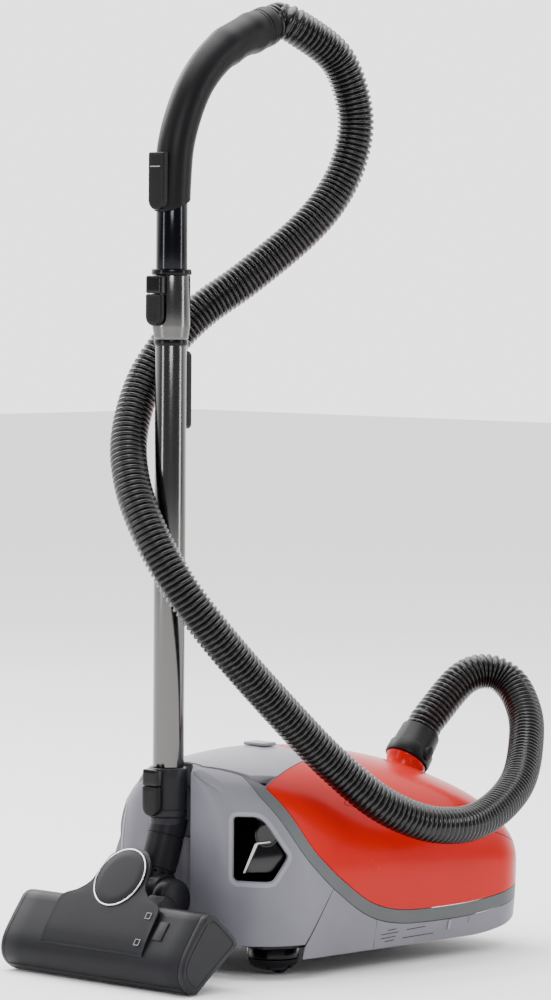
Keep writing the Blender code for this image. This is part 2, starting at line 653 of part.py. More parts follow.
def swept(name, slot, path, radii, points=20):
    """Skin of circles along a path in the XZ plane."""
    sections = []
    for i, here in enumerate(path):
        before = path[max(0, i - 1)]
        after = path[min(len(path) - 1, i + 1)]
        way = (after - before).normalized()
        side = Vector((0, 1, 0))
        up = side.cross(way)
        ring = []
        for k in range(points):
            angle = 2 * math.pi * k / points
            ring.append(here + (side * math.cos(angle) + up * math.sin(angle)) * radii[i])
        sections.append(ring)
    return loft(name, slot, sections)


def build_handle():
    path = smooth_curve(handle_path(), 2)
    count = len(path)
    radii = [HANDLE_R + (HANDLE_END_R - HANDLE_R) * max(0.0, i / (count - 1) - 0.6) / 0.4 for i in range(count)]
    grip = swept("grip_handle", "dark_plastic", path, radii)
    inner = [path[0] - Vector((0, 0, 0.01))] + path[1:-1] + [path[-1] + collar_axis() * 0.01]
    combine(grip, swept("grip_bore", None, inner, [TUBE_R + 0.0008] * count))
    end = path[-1] + collar_axis() * GAP
    tube("hose_collar", "dark_plastic", HOSE_R + 0.0018, HOSE_R - 0.003, 0.0, 0.020 - GAP, end, collar_axis(), chamfer=0.001)
    block("air_valve", "dark_plastic", (WAND_X - HANDLE_R - 0.0057, -0.012, 0.853),
          (WAND_X - HANDLE_R - 0.0007, 0.012, 0.915), 0.002)


# ---- floor head ------------------------------------------------------------------
PIVOT = (0.118, 0.0295)      # the neck's hinge in the head's own frame


def head_frame():
    """The head is modelled flat, then turned up about its front edge."""
    turn = Matrix.Rotation(-HEAD_TILT, 4, 'Y')
    corners = [turn @ Vector((x, 0.0, z)) for x, z in head_profile()]
    forward = -OVERALL_LENGTH / 2 - min(corner.x for corner in corners)
    lift = -min(corner.z for corner in corners)
    return Matrix.Translation((forward, 0.0, lift)) @ turn


def in_head(obj):
    """Hang a piece and its cutters from the empty that holds the head's tilt."""
    holder = bpy.data.objects.get("head_tilt_frame")
    if holder is None:
        holder = bpy.data.objects.new("head_tilt_frame", None)
        bpy.context.scene.collection.objects.link(holder)
        holder.matrix_world = head_frame()
    obj.parent = holder
    for modifier in obj.modifiers:
        modifier.object.parent = holder
    return obj


def head_profile(margin=0.0):
    outline = [(0.004, 0.000), (0.083, 0.000), (0.087, 0.004), (0.080, 0.046), (0.072, 0.058), (0.064, 0.060),
               (0.030, 0.050), (0.010, 0.042), (-0.001, 0.031), (-0.004, 0.018), (-0.001, 0.006)]
    return inset(outline, margin) if margin else outline


def build_floor_head():
    half = HEAD_HALF_WIDTH - 0.008
    housing = prism("head_housing", "dark_plastic", head_profile(), -half, half)
    combine(housing, prism("head_hollow", None, [(0.012, -0.01), (0.075, -0.01), (0.076, 0.030), (0.064, 0.046),
                                                 (0.032, 0.042), (0.008, 0.030)], -half + 0.004, half - 0.004))
    yoke = [(0.070, 0.012), (0.105, 0.012), (0.105, 0.048), (0.070, 0.048)]
    combine(housing, prism("yoke_shape", None, yoke, -0.050, 0.050), 'UNION')
    combine(housing, prism("yoke_room", None, [(0.090, 0.0), (0.2, 0.0), (0.2, 0.07), (0.090, 0.07)],
                           -0.026, 0.026))
    in_head(housing)
    for side, sign in (("right", -1), ("left", 1)):
        low, high = sorted((sign * (half + GAP), sign * HEAD_HALF_WIDTH))
        in_head(prism("head_cap_" + side, "dark_plastic", head_profile(0.001), low, high))
    cover = prism("head_cover", "dark_plastic", [(0.012, 0.0434), (0.030, 0.0506), (0.064, 0.0608), (0.124, 0.0810),
                                                 (0.128, 0.0840), (0.124, 0.0850), (0.060, 0.0650),
                                                 (0.030, 0.0550), (0.014, 0.0470)], -0.075, 0.075)
    plan = [(0.0, -0.075), (0.060, -0.062), (0.100, -0.038), (0.130, -0.020), (0.130, 0.020), (0.100, 0.038),
            (0.060, 0.062), (0.0, 0.075)]
    trim = prism("cover_plan", None, plan, 0.0, 0.2, 'Z')
    combine(cover, trim, 'INTERSECT')
    in_head(cover)
    slope = math.atan2(0.0204, 0.060)
    normal = (-math.sin(slope), 0.0, math.cos(slope))
    seat = Vector((0.092, 0.0, 0.0755)) + Vector(normal) * 0.0008
    in_head(tube("cover_ring", "steel", 0.0360, 0.0345, 0.0, 0.0012, seat, normal, steps=32))
    in_head(disc("cover_badge", "dark_plastic", 0.0340, 0.0, 0.0008, seat, normal, steps=32))
    slider = prism("head_slider", "black_gloss", [(0.034, 0.0526), (0.050, 0.0572), (0.050, 0.0600),
                                                  (0.034, 0.0554)], -0.098, -0.084)
    in_head(slider)
    in_head(tube("brush_roller", "rubber", BRUSH_R, 0.0030, -0.120, 0.120, (0.028, 0.0, 0.0175), (0, 1, 0), steps=18))
    in_head(disc("brush_axle", "steel", 0.0027, -0.124, 0.124, (0.028, 0.0, 0.0175), (0, 1, 0), steps=10))
    in_head(tube("air_turbine", "dark_plastic", 0.0095, 0.0030, -0.030, 0.030, (0.0575, 0.0, 0.0300), (0, 1, 0),
                 steps=16))
    in_head(disc("turbine_shaft", "steel", 0.0027, -0.040, 0.040, (0.0575, 0.0, 0.0300), (0, 1, 0), steps=10))


def build_neck_joint():
    """Elbow under the collar, and the hinge barrel that carries the head."""
    frame = head_frame()
    pivot = frame @ Vector((PIVOT[0], 0.0, PIVOT[1]))
    lean = Vector((WAND_X - pivot.x, 0.0, COLLAR_Z[0] - 0.012 - pivot.z))
    axis = lean.normalized()
    length = lean.length
    elbow = tube("swivel_elbow", "dark_plastic", 0.0205, 0.0165, 0.0, length, pivot, axis, steps=24)
    barrel = disc("elbow_barrel", None, 0.0225, -0.0245, 0.0245, pivot, (0, 1, 0), steps=24)
    combine(elbow, barrel, 'UNION')
    combine(elbow, disc("elbow_passage", None, 0.0160, -0.010, length + 0.02, pivot, axis, steps=24))
    flat = block("elbow_top_cutter", None, (WAND_X - 0.05, -0.05, COLLAR_Z[0] - GAP), (WAND_X + 0.05, 0.05, 0.30))
    combine(elbow, flat)


def main():
    for obj in list(bpy.data.objects):
        bpy.data.objects.remove(obj, do_unlink=True)
    build_canister_shells()
    build_tray_and_castors()
    build_inside()
    build_pedals_and_latch()
    build_lower_wand()
    build_upper_wand()
    build_handle()
    build_cuff()
    build_hose()
    build_floor_head()
    build_neck_joint()


main()
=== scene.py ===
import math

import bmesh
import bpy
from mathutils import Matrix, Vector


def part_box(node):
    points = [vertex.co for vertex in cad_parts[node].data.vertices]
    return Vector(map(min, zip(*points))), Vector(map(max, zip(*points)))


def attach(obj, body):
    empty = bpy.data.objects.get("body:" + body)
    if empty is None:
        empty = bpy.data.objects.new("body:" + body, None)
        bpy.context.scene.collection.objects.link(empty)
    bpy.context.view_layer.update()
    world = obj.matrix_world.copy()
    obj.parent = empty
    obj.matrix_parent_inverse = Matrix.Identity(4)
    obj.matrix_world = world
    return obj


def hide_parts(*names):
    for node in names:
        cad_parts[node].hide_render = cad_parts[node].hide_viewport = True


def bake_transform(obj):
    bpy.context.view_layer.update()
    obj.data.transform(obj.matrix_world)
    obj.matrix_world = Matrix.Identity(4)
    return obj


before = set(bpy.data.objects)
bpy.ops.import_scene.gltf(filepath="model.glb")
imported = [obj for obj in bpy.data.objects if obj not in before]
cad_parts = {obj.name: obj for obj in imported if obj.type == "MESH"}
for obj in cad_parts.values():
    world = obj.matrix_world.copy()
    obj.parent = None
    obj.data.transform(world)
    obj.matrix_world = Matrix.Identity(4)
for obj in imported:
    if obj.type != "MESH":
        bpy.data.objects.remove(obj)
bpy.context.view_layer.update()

# %% [markdown]
# # A canister vacuum cleaner with its wand parked upright
# The frame holds every solid part at its true size. Here each visible part gets the
# surface that the real one has: glossy moulded covers, a satin grey chassis, drawn steel
# tubes and a ribbed stretch hose. Sizes come from the frame's boxes, so a piece always
# lands where its solid stands.

GAP = 0.0003
tube_low, tube_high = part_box("outer_tube")
WAND_X = (tube_low[0] + tube_high[0]) / 2
NOSE_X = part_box("trim_band")[1][0]
REAR_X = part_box("rear_housing")[0][0]
HALF_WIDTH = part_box("chassis_skirt")[1][1]
BODY_LENGTH = NOSE_X - REAR_X
print("wand axis at", round(WAND_X, 4), "canister length", round(BODY_LENGTH, 4))

# %% [markdown]
# ## Camera, light and floor
# The object is seen from its rear right, a little below the height of the grip, through a
# long lens. A long lens keeps the tall wand upright and its edges parallel. The world is
# white behind and above the object and dark behind the camera, so that steel and black
# plastic have something dark to reflect. A broad overhead light and a key light shape the
# covers, two narrow strips draw bright lines along the tubes, and one more lights the floor.

# %% Camera
def aim(obj, target):
    way = Vector(target) - obj.location
    obj.rotation_euler = way.to_track_quat('-Z', 'Y').to_euler()


camera_data = bpy.data.cameras.new("camera")
camera_data.sensor_fit = 'VERTICAL'
camera_data.sensor_height = 36.0
camera_data.lens = 173.3
camera = bpy.data.objects.new("camera", camera_data)
bpy.context.scene.collection.objects.link(camera)
DISTANCE = 5.35
camera.location = (WAND_X - DISTANCE * math.sin(math.radians(45)), -DISTANCE * math.cos(math.radians(45)),
                   0.80)
aim(camera, (WAND_X + 0.083, -0.083, 0.530))
camera.rotation_euler.rotate_axis('Z', math.radians(0.45))
bpy.context.scene.camera = camera

# %% Floor and light
floor_data = bpy.data.meshes.new("floor")
bm = bmesh.new()
bmesh.ops.create_grid(bm, x_segments=1, y_segments=1, size=14.0)
bmesh.ops.translate(bm, vec=(0, 0, -0.0005), verts=bm.verts)
bm.to_mesh(floor_data)
bm.free()
floor = bpy.data.objects.new("floor", floor_data)
bpy.context.scene.collection.objects.link(floor)
floor_material = bpy.data.materials.new("pale_floor")
floor_material.use_nodes = True
floor_shader = floor_material.node_tree.nodes["Principled BSDF"]
floor_shader.inputs["Base Color"].default_value = (0.90, 0.90, 0.90, 1)
floor_shader.inputs["Roughness"].default_value = 0.85
floor_data.materials.append(floor_material)

world = bpy.data.worlds.new("studio")
world.use_nodes = True
tree = world.node_tree
heading = tree.nodes.new("ShaderNodeNormal")
heading.outputs["Normal"].default_value = Vector((0.53, 0.53, 0.66)).normalized()
ramp = tree.nodes.new("ShaderNodeValToRGB")
ramp.color_ramp.elements[0].position, ramp.color_ramp.elements[0].color = 0.0, (0.10, 0.10, 0.11, 1)
ramp.color_ramp.elements[1].position, ramp.color_ramp.elements[1].color = 0.55, (1.0, 1.0, 1.0, 1)
coordinates = tree.nodes.new("ShaderNodeTexCoord")
tree.links.new(coordinates.outputs["Generated"], heading.inputs["Normal"])
tree.links.new(heading.outputs["Dot"], ramp.inputs["Fac"])
tree.links.new(ramp.outputs["Color"], tree.nodes["Background"].inputs["Color"])
tree.nodes["Background"].inputs["Strength"].default_value = 2.6
bpy.context.scene.world = world


def area_light(name, place, target, size, power):
    data = bpy.data.lights.new(name, 'AREA')
    data.shape = 'RECTANGLE'
    data.size = size[0]
    data.size_y = size[1]
    data.energy = power
    light = bpy.data.objects.new(name, data)
    light.location = place
    bpy.context.scene.collection.objects.link(light)
    aim(light, target)


area_light("overhead", (0.1, 0.3, 3.0), (0.05, 0.0, 0.2), (2.2, 2.2), 95)
area_light("key", (-2.6, -2.6, 2.4), (0.0, 0.0, 0.4), (1.2, 1.2), 60)
area_light("strip_right", (1.6, -3.0, 1.0), (WAND_X, 0.0, 0.6), (0.45, 2.4), 42)
area_light("strip_left", (-3.2, 0.9, 1.1), (WAND_X, 0.0, 0.6), (0.35, 2.4), 34)
area_light("floor_wash", (0.0, 3.2, 2.6), (0.0, 1.5, 0.0), (3.0, 2.0), 120)
print("camera at", [round(c, 3) for c in camera.location])

# %% [markdown]
# ## Finishes
# Moulded plastic is never quite even. Each finish starts from one shader: a fine noise
# moves its roughness, a second noise bumps it, and a gloss finish adds a clear coat.
# Noise reads object coordinates in metres, so its grain has a real size.

# %% Material helper
def moulded(name, colour, roughness, grain=900.0, bump=0.06, coat=0.0, metallic=0.0, stretch=(1, 1, 1),
            vary=0.06, tint=0.06, specular=0.5):
    """Principled material whose colour, roughness and bump follow fine noise."""
    made = bpy.data.materials.new(name)
    made.use_nodes = True
    nodes = made.node_tree.nodes
    links = made.node_tree.links
    shader = nodes["Principled BSDF"]
    shader.inputs["Metallic"].default_value = metallic
    shader.inputs["Coat Weight"].default_value = coat
    shader.inputs["Specular IOR Level"].default_value = specular
    shader.inputs["Coat Roughness"].default_value = 0.04
    place = nodes.new("ShaderNodeTexCoord")
    scale = nodes.new("ShaderNodeMapping")
    scale.inputs["Scale"].default_value = stretch
    links.new(place.outputs["Object"], scale.inputs["Vector"])
    fine = nodes.new("ShaderNodeTexNoise")
    fine.inputs["Scale"].default_value = grain
    fine.inputs["Detail"].default_value = 3.0
    links.new(scale.outputs["Vector"], fine.inputs["Vector"])
    broad = nodes.new("ShaderNodeTexNoise")
    broad.inputs["Scale"].default_value = 14.0
    broad.inputs["Detail"].default_value = 4.0
    links.new(scale.outputs["Vector"], broad.inputs["Vector"])
    rough = nodes.new("ShaderNodeMapRange")
    rough.inputs["To Min"].default_value = max(0.02, roughness - vary)
    rough.inputs["To Max"].default_value = min(1.0, roughness + vary)
    links.new(broad.outputs["Fac"], rough.inputs["Value"])
    links.new(rough.outputs["Result"], shader.inputs["Roughness"])
    ramp = nodes.new("ShaderNodeValToRGB")
    ramp.color_ramp.elements[0].position = 0.35
    ramp.color_ramp.elements[1].position = 0.65
    ramp.color_ramp.elements[0].color = (*[c * (1 - tint) for c in colour], 1)
    ramp.color_ramp.elements[1].color = (*[min(1.0, c * (1 + tint)) for c in colour], 1)
    links.new(broad.outputs["Fac"], ramp.inputs["Fac"])
    links.new(ramp.outputs["Color"], shader.inputs["Base Color"])
    push = nodes.new("ShaderNodeBump")
    push.inputs["Strength"].default_value = bump
    push.inputs["Distance"].default_value = 0.0002
    links.new(fine.outputs["Fac"], push.inputs["Height"])
    links.new(push.outputs["Normal"], shader.inputs["Normal"])
    return made


hood_red = moulded("hood_red", (0.43, 0.0035, 0.0018), 0.26, grain=300, bump=0.02, coat=0.06, vary=0.04,
                   tint=0.03, specular=0.10)
housing_grey = moulded("housing_grey", (0.150, 0.148, 0.172), 0.42, grain=2200, bump=0.10, coat=0.03,
                       specular=0.20)
housing_light = moulded("housing_light", (0.21, 0.208, 0.235), 0.38, grain=2200, bump=0.08, coat=0.05,
                        specular=0.3)
band_grey = moulded("band_grey", (0.082, 0.087, 0.090), 0.44, grain=2200, bump=0.10, specular=0.15)
grip_black = moulded("grip_black", (0.0040, 0.0040, 0.0046), 0.40, grain=2600, bump=0.16, specular=0.14)
head_black = moulded("head_black", (0.0062, 0.0062, 0.0082), 0.42, grain=2600, bump=0.12, specular=0.14)
gloss_black = moulded("gloss_black", (0.002, 0.002, 0.0025), 0.22, grain=400, bump=0.03, coat=0.05,
                      specular=0.15)
head_light = moulded("head_light", (0.0105, 0.0105, 0.0130), 0.40, grain=2600, bump=0.12, specular=0.18)
bristle_black = moulded("bristle_black", (0.010, 0.010, 0.011), 0.70, grain=2600, bump=0.35,
                        stretch=(1, 1, 0.1))
ring_silver = moulded("ring_silver", (0.70, 0.70, 0.71), 0.22, grain=900, bump=0.03, metallic=1.0, vary=0.05)
hose_black = moulded("hose_black", (0.0045, 0.0045, 0.0048), 0.24, grain=600, bump=0.04, coat=0.10, vary=0.05,
                     specular=0.30)
drawn_steel = moulded("drawn_steel", (0.105, 0.103, 0.101), 0.17, grain=700, bump=0.05, metallic=1.0,
                      stretch=(1, 1, 0.02), vary=0.05)
smoked_chrome = moulded("smoked_chrome", (0.024, 0.024, 0.028), 0.14, grain=700, bump=0.04, metallic=1.0,
                        stretch=(1, 1, 0.02), vary=0.04)
tread_rubber = moulded("tread_rubber", (0.006, 0.006, 0.0065), 0.75, grain=1500, bump=0.30, specular=0.25)
tray_black = moulded("tray_black", (0.007, 0.007, 0.0075), 0.55, grain=1800, bump=0.20, specular=0.3)
filter_felt = moulded("filter_felt", (0.72, 0.71, 0.66), 0.95, grain=1200, bump=0.60)
board_green = moulded("board_green", (0.02, 0.16, 0.06), 0.45, grain=300, bump=0.10)
smoke_clear = moulded("smoke_clear", (0.004, 0.004, 0.005), 0.14, grain=300, bump=0.02, coat=0.10, vary=0.03,
                      specular=0.2)
fin_clear = moulded("fin_clear", (0.55, 0.56, 0.58), 0.10, grain=300, bump=0.02, coat=0.8, vary=0.03)
smoke_clear.node_tree.nodes["Principled BSDF"].inputs["Transmission Weight"].default_value = 0.55
print("finishes:", len([m for m in bpy.data.materials if m.users == 0 or m.use_nodes]))

# %% [markdown]
# ## Putting a piece in place
# Every new piece ends the same way. Its mesh is written out, rounded parts are shaded
# smooth with their hard edges kept, the piece is told which body carries it, and the
# solids it stands for are hidden.

# %% Finishing a piece
def finished(bm, name, finish, body, nodes=(), angle=35):
    mesh = bpy.data.meshes.new(name)
    bm.to_mesh(mesh)
    bm.free()
    mesh.materials.append(finish)
    mesh.shade_smooth()
    mesh.set_sharp_from_angle(angle=math.radians(angle))
    piece = bpy.data.objects.new(name, mesh)
    bpy.context.scene.collection.objects.link(piece)
    if body:
        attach(piece, body)
    if nodes:
        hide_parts(*nodes)
    return piece


def turn_to(axis, centre):
    turn = Vector((0, 0, 1)).rotation_difference(Vector(axis)).to_matrix().to_4x4()
    return Matrix.Translation(Vector(centre)) @ turn


def turned(profile, centre, axis=(0, 0, 1), steps=64):
    """Closed (radius, height) profile spun about an axis."""
    bm = bmesh.new()
    verts = [bm.verts.new((r, 0.0, h)) for r, h in profile]
    pairs = list(zip(verts, verts[1:] + verts[:1]))
    edges = [bm.edges.new(p) for p in pairs if max(p[0].co.x, p[1].co.x) > 1e-9]
    bmesh.ops.spin(bm, geom=verts + edges, axis=(0, 0, 1), cent=(0, 0, 0), angle=2 * math.pi,
                   steps=steps, use_merge=True)
    bmesh.ops.remove_doubles(bm, verts=bm.verts, dist=1e-6)
    bmesh.ops.recalc_face_normals(bm, faces=bm.faces)
    bm.transform(turn_to(axis, centre))
    return bm


def rounded_box(low, high, radius, segments=3):
    bm = bmesh.new()
    bmesh.ops.create_cube(bm, size=1.0)
    bmesh.ops.scale(bm, vec=[b - a for a, b in zip(low, high)], verts=bm.verts)
    bmesh.ops.translate(bm, vec=[(a + b) / 2 for a, b in zip(low, high)], verts=bm.verts)
    bmesh.ops.bevel(bm, geom=bm.edges, offset=radius, segments=segments, affect='EDGES', profile=0.5,
                    material=-1)
    return bm


def slab(outline, low, high, place, radius=0.0, segments=3):
    """Outline pushed from low to high; place puts (a, b, c) into x, y, z."""
    bm = bmesh.new()
    face = bm.faces.new([bm.verts.new(place(a, b, low)) for a, b in outline])
    grown = bmesh.ops.extrude_face_region(bm, geom=[face])
    moved = [v for v in grown["geom"] if isinstance(v, bmesh.types.BMVert)]
    bmesh.ops.translate(bm, vec=Vector(place(0, 0, high)) - Vector(place(0, 0, low)), verts=moved)
    bmesh.ops.recalc_face_normals(bm, faces=bm.faces)
    if radius:
        bmesh.ops.bevel(bm, geom=bm.edges, offset=radius, segments=segments, affect='EDGES', profile=0.5,
                        material=-1)
    return bm


def along_y(a, b, c):
    return (a, c, b)


def along_z(a, b, c):
    return (a, b, c)


def tapered_ring(inner, outer_low, outer_high, low, high, lip=0.0008):
    """Ring profile with softened outer edges."""
    return [(inner, low), (outer_low - lip, low), (outer_low - lip * 0.3, low + lip * 0.3),
            (outer_low, low + lip), (outer_high, high - lip), (outer_high - lip * 0.3, high - lip * 0.3),
            (outer_high - lip, high), (inner, high)]


# %% [markdown]
# ## The stretch hose
# A stretch hose is a wound rib on a thin wall. A short saw of ribs is spun into one long
# straight tube, which is easy to get right, and the tube is then bent onto the hose's
# route: each point keeps its distance from the centre line. The hose is one length of
# about 1.8 m on the real object. Here it is made as two pieces, split at its lowest point.

# %% Hose route
HOSE_ROUTE = [
    (0.181, -0.014, 1.061), (0.230, -0.032, 1.027), (0.252, -0.040, 0.975), (0.252, -0.040, 0.929),
    (0.233, -0.033, 0.879), (0.193, -0.021, 0.832), (0.128, 0.006, 0.777), (0.078, 0.030, 0.739),
    (0.040, 0.046, 0.700), (0.010, 0.054, 0.656), (-0.022, 0.043, 0.599), (-0.042, 0.017, 0.547),
    (-0.046, -0.015, 0.494), (-0.034, -0.046, 0.440), (-0.008, -0.070, 0.392), (0.029, -0.089, 0.344),
    (0.080, -0.110, 0.287), (0.124, -0.132, 0.238), (0.171, -0.160, 0.193), (0.222, -0.178, 0.168),
    (0.270, -0.185, 0.160),
]
HOSE_END_ROUTE = [
    (0.270, -0.185, 0.160), (0.320, -0.180, 0.162), (0.377, -0.166, 0.176), (0.432, -0.143, 0.197),
    (0.482, -0.110, 0.228), (0.518, -0.078, 0.262), (0.530, -0.046, 0.295), (0.515, -0.022, 0.310),
    (0.484, -0.007, 0.301),
]
HOSE_R = 0.021
RIB_PITCH = 0.0062
STRAIGHT = 0.015
GRIP_END = Vector((WAND_X + 0.135, 0.0, 1.0555))
GRIP_AXIS = Vector((math.cos(math.radians(20)), 0.0, math.sin(math.radians(20))))
NECK_BASE = Vector((WAND_X + 0.372, 0.0, 0.182))
NECK_AXIS = Vector((math.cos(math.radians(51)), 0.0, math.sin(math.radians(51))))
NECK_LENGTH = 0.036
CUFF_LENGTH = 0.042


def smooth_curve(points, per_span):
    """Points on a Catmull-Rom curve through the given ones."""
    pts = [Vector(p) for p in points]
    ends = [2 * pts[0] - pts[1]] + pts + [2 * pts[-1] - pts[-2]]
    out = []
    for a, b, c, d in zip(ends, ends[1:], ends[2:], ends[3:]):
        for k in range(per_span):
            t = k / per_span
            out.append(0.5 * (2 * b + (c - a) * t + (2 * a - 5 * b + 4 * c - d) * t * t
                              + (3 * b - a - 3 * c + d) * t ** 3))
    return out + [pts[-1]]


def from_wand(points):
    return [Vector((WAND_X + p[0], p[1], p[2])) for p in points]


hose_start = GRIP_END + GRIP_AXIS * (0.020 + GAP)
hose_finish = NECK_BASE + NECK_AXIS * (NECK_LENGTH + CUFF_LENGTH + 2 * GAP)
per_span = 12
whole = [hose_start + GRIP_AXIS * STRAIGHT] + from_wand(HOSE_ROUTE)[:-1] + from_wand(HOSE_END_ROUTE)
whole = whole + [hose_finish + NECK_AXIS * STRAIGHT]
line = smooth_curve(whole, per_span)
split = per_span * (len(HOSE_ROUTE))
hose_main_path = [hose_start] + line[:split + 1]
hose_end_path = line[split:] + [hose_finish]


def path_length(path):
    return sum((b - a).length for a, b in zip(path, path[1:]))


print("hose lengths", round(path_length(hose_main_path), 3), round(path_length(hose_end_path), 3))


# %% Bending a ribbed tube onto the route
def frames_along(path):
    """Distance, place, side and up at each point, with no sudden twist."""
    frames = []
    side = Vector((0, 1, 0))
    travelled = 0.0
    for i, here in enumerate(path):
        way = (path[min(i + 1, len(path) - 1)] - path[max(i - 1, 0)]).normalized()
        side = (side - way * side.dot(way)).normalized()
        up = way.cross(side)
        if i:
            travelled += (here - path[i - 1]).length
        frames.append((travelled, here, side.copy(), up))
    return frames


def bend_onto(bm, path):
    frames = frames_along(path)
    place = {}
    for vert in bm.verts:
        s = vert.co.z
        key = round(s, 6)
        if key not in place:
            i = 0
            low, high = 0, len(frames) - 2
            while low < high:
                mid = (low + high + 1) // 2
                if frames[mid][0] <= s:
                    low = mid
                else:
                    high = mid - 1
            i = low
            (s0, p0, a0, b0), (s1, p1, a1, b1) = frames[i], frames[i + 1]
            t = (s - s0) / max(1e-9, s1 - s0)
            place[key] = (p0.lerp(p1, t), a0.lerp(a1, t).normalized(), b0.lerp(b1, t).normalized())
        centre, side, up = place[key]
        vert.co = centre + side * vert.co.x + up * vert.co.y


def ribbed_tube(path):
    """Straight ribbed tube, spun and then bent onto a path."""
    length = path_length(path)
    ribs = max(1, round(length / RIB_PITCH))
    pitch = length / ribs
    rib = [(0.00, 0.86), (0.16, 0.90), (0.30, 0.985), (0.50, 1.00), (0.70, 0.985), (0.84, 0.90)]
    profile = [(0.0, 0.0)]
    for i in range(ribs):
        profile += [(HOSE_R * r, (i + z) * pitch) for z, r in rib]
    profile += [(HOSE_R * 0.86, length), (0.0, length)]
    bm = bmesh.new()
    verts = [bm.verts.new((r, 0.0, h)) for r, h in profile]
    edges = [bm.edges.new(p) for p in zip(verts, verts[1:])]
    bmesh.ops.spin(bm, geom=verts + edges, axis=(0, 0, 1), cent=(0, 0, 0), angle=2 * math.pi, steps=28,
                   use_merge=True)
    bmesh.ops.remove_doubles(bm, verts=bm.verts, dist=1e-6)
    bmesh.ops.recalc_face_normals(bm, faces=bm.faces)
    bend_onto(bm, path)
    return bm


hose_main = finished(ribbed_tube(hose_main_path), "stretch_hose", hose_black, None,
                     ["hose_main"], angle=70)
hose_tail = finished(ribbed_tube(hose_end_path), "stretch_hose_tail", hose_black, None,
                     ["hose_end"], angle=70)
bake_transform(hose_main)
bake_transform(hose_tail)
print("hose faces", len(hose_main.data.polygons) + len(hose_tail.data.polygons))

# %% [markdown]
# ## The canister's skin
# All five covers of the canister share one skin, so they must come from one shape. A
# cross-section that arches over upright sides is swept from the rear to the nose, with
# the ridge line and the rounded plan setting its size. Cutting every cover from that
# same fine skin keeps highlights running unbroken across the seams.

# %% Skin of the canister
RIDGE = [(0.0, 0.232), (0.05, 0.239), (0.12, 0.245), (0.18, 0.243), (0.25, 0.235), (0.314, 0.222),
         (0.360, 0.208), (0.400, 0.192), (0.425, 0.178), (0.445, 0.160), (0.458, 0.138), (0.464, 0.112)]
BONNET_EDGE = [(0.063, 0.207), (0.085, 0.153), (0.109, 0.126), (0.137, 0.104), (0.179, 0.078),
               (0.222, 0.065), (0.276, 0.061), (0.357, 0.062), (0.420, 0.070), (0.490, 0.088)]
LID_EDGE = [(0.165, 0.190), (0.172, 0.184), (0.300, 0.163), (0.400, 0.138), (0.490, 0.104)]
REAR_CORNER = 0.078
NOSE_CORNER = 0.070
SHOULDER_Z = 0.100
WALL = 0.003
BAND_WIDTH = 0.0155
HOUSING_Z = 0.038
GROOVE_RADIUS = 0.028
SEAM = 0.0008
scratch = []


def smooth_line(table, per_span=6):
    return [(p.x, p.y) for p in smooth_curve([(a, b, 0.0) for a, b in table], per_span)]


RIDGE_LINE = smooth_line(RIDGE)
EDGE_LINE = smooth_line(BONNET_EDGE)


def between(table, x):
    if x <= table[0][0]:
        return table[0][1]
    for (xa, a), (xb, b) in zip(table, table[1:]):
        if x <= xb:
            return a + (b - a) * (x - xa) / max(1e-9, xb - xa)
    return table[-1][1]


def half_width(x, grow):
    width = HALF_WIDTH + grow
    for end, radius in ((x - REAR_X + grow, REAR_CORNER + grow), (NOSE_X + grow - x, NOSE_CORNER + grow)):
        if end < radius:
            width = min(width, HALF_WIDTH + grow - radius
                        + math.sqrt(max(0.0, radius ** 2 - (radius - end) ** 2)))
    return width


def body_section(x, grow, floor_drop, arc=30):
    width = half_width(x, grow)
    stretch = BODY_LENGTH / (BODY_LENGTH + 2 * grow)
    ridge = between(RIDGE_LINE, (x - REAR_X + grow) * stretch) + grow
    rise_x = max(0.0, x - (WAND_X + 0.350)) / (NOSE_X - (WAND_X + 0.350))
    bottom = 0.022 + 0.025 * rise_x ** 2 - floor_drop
    half = [(width * (1 - 0.03 * (1 - k / 6) ** 2), bottom + (SHOULDER_Z - bottom) * k / 6) for k in range(6)]
    for i in range(arc + 1):
        angle = math.pi / 2 * i / arc
        half.append((width * math.cos(angle) ** 0.91,
                     SHOULDER_Z + (ridge - SHOULDER_Z) * math.sin(angle) ** 0.91))
    right = [(x, -y, z) for y, z in half[:-1]]
    left = [(x, y, z) for y, z in reversed(half[:-1])]
    return right + [(x, 0.0, ridge)] + left


def loft(sections):
    """Skin over closed sections with the same number of points, both ends closed."""
    bm = bmesh.new()
    rings = [[bm.verts.new(p) for p in section] for section in sections]
    count = len(rings[0])
    for ring, following in zip(rings, rings[1:]):
        for i in range(count):
            j = (i + 1) % count
            bm.faces.new((ring[i], ring[j], following[j], following[i]))
    bm.faces.new(rings[0])
    bm.faces.new(rings[-1])
    bmesh.ops.recalc_face_normals(bm, faces=bm.faces)
    return bm


def skin(grow=0.0, floor_drop=0.0):
    rear = REAR_X - grow
    length = BODY_LENGTH + 2 * grow
    steps = []
    for k in range(17):
        steps.append(0.5 * 0.17 * (1 - math.cos(math.pi / 2 * k / 16)))
    steps += [0.085 + 0.7 * k / 34 for k in range(1, 34)]
    for k in range(27):
        steps.append(1 - 0.215 * (1 - math.sin(math.pi / 2 * k / 26)))
    return loft([body_section(rear + s * length, grow, floor_drop) for s in steps])


def scratch_object(bm, name):
    mesh = bpy.data.meshes.new(name)
    bm.to_mesh(mesh)
    bm.free()
    obj = bpy.data.objects.new(name, mesh)
    bpy.context.scene.collection.objects.link(obj)
    scratch.append(obj)
    return obj


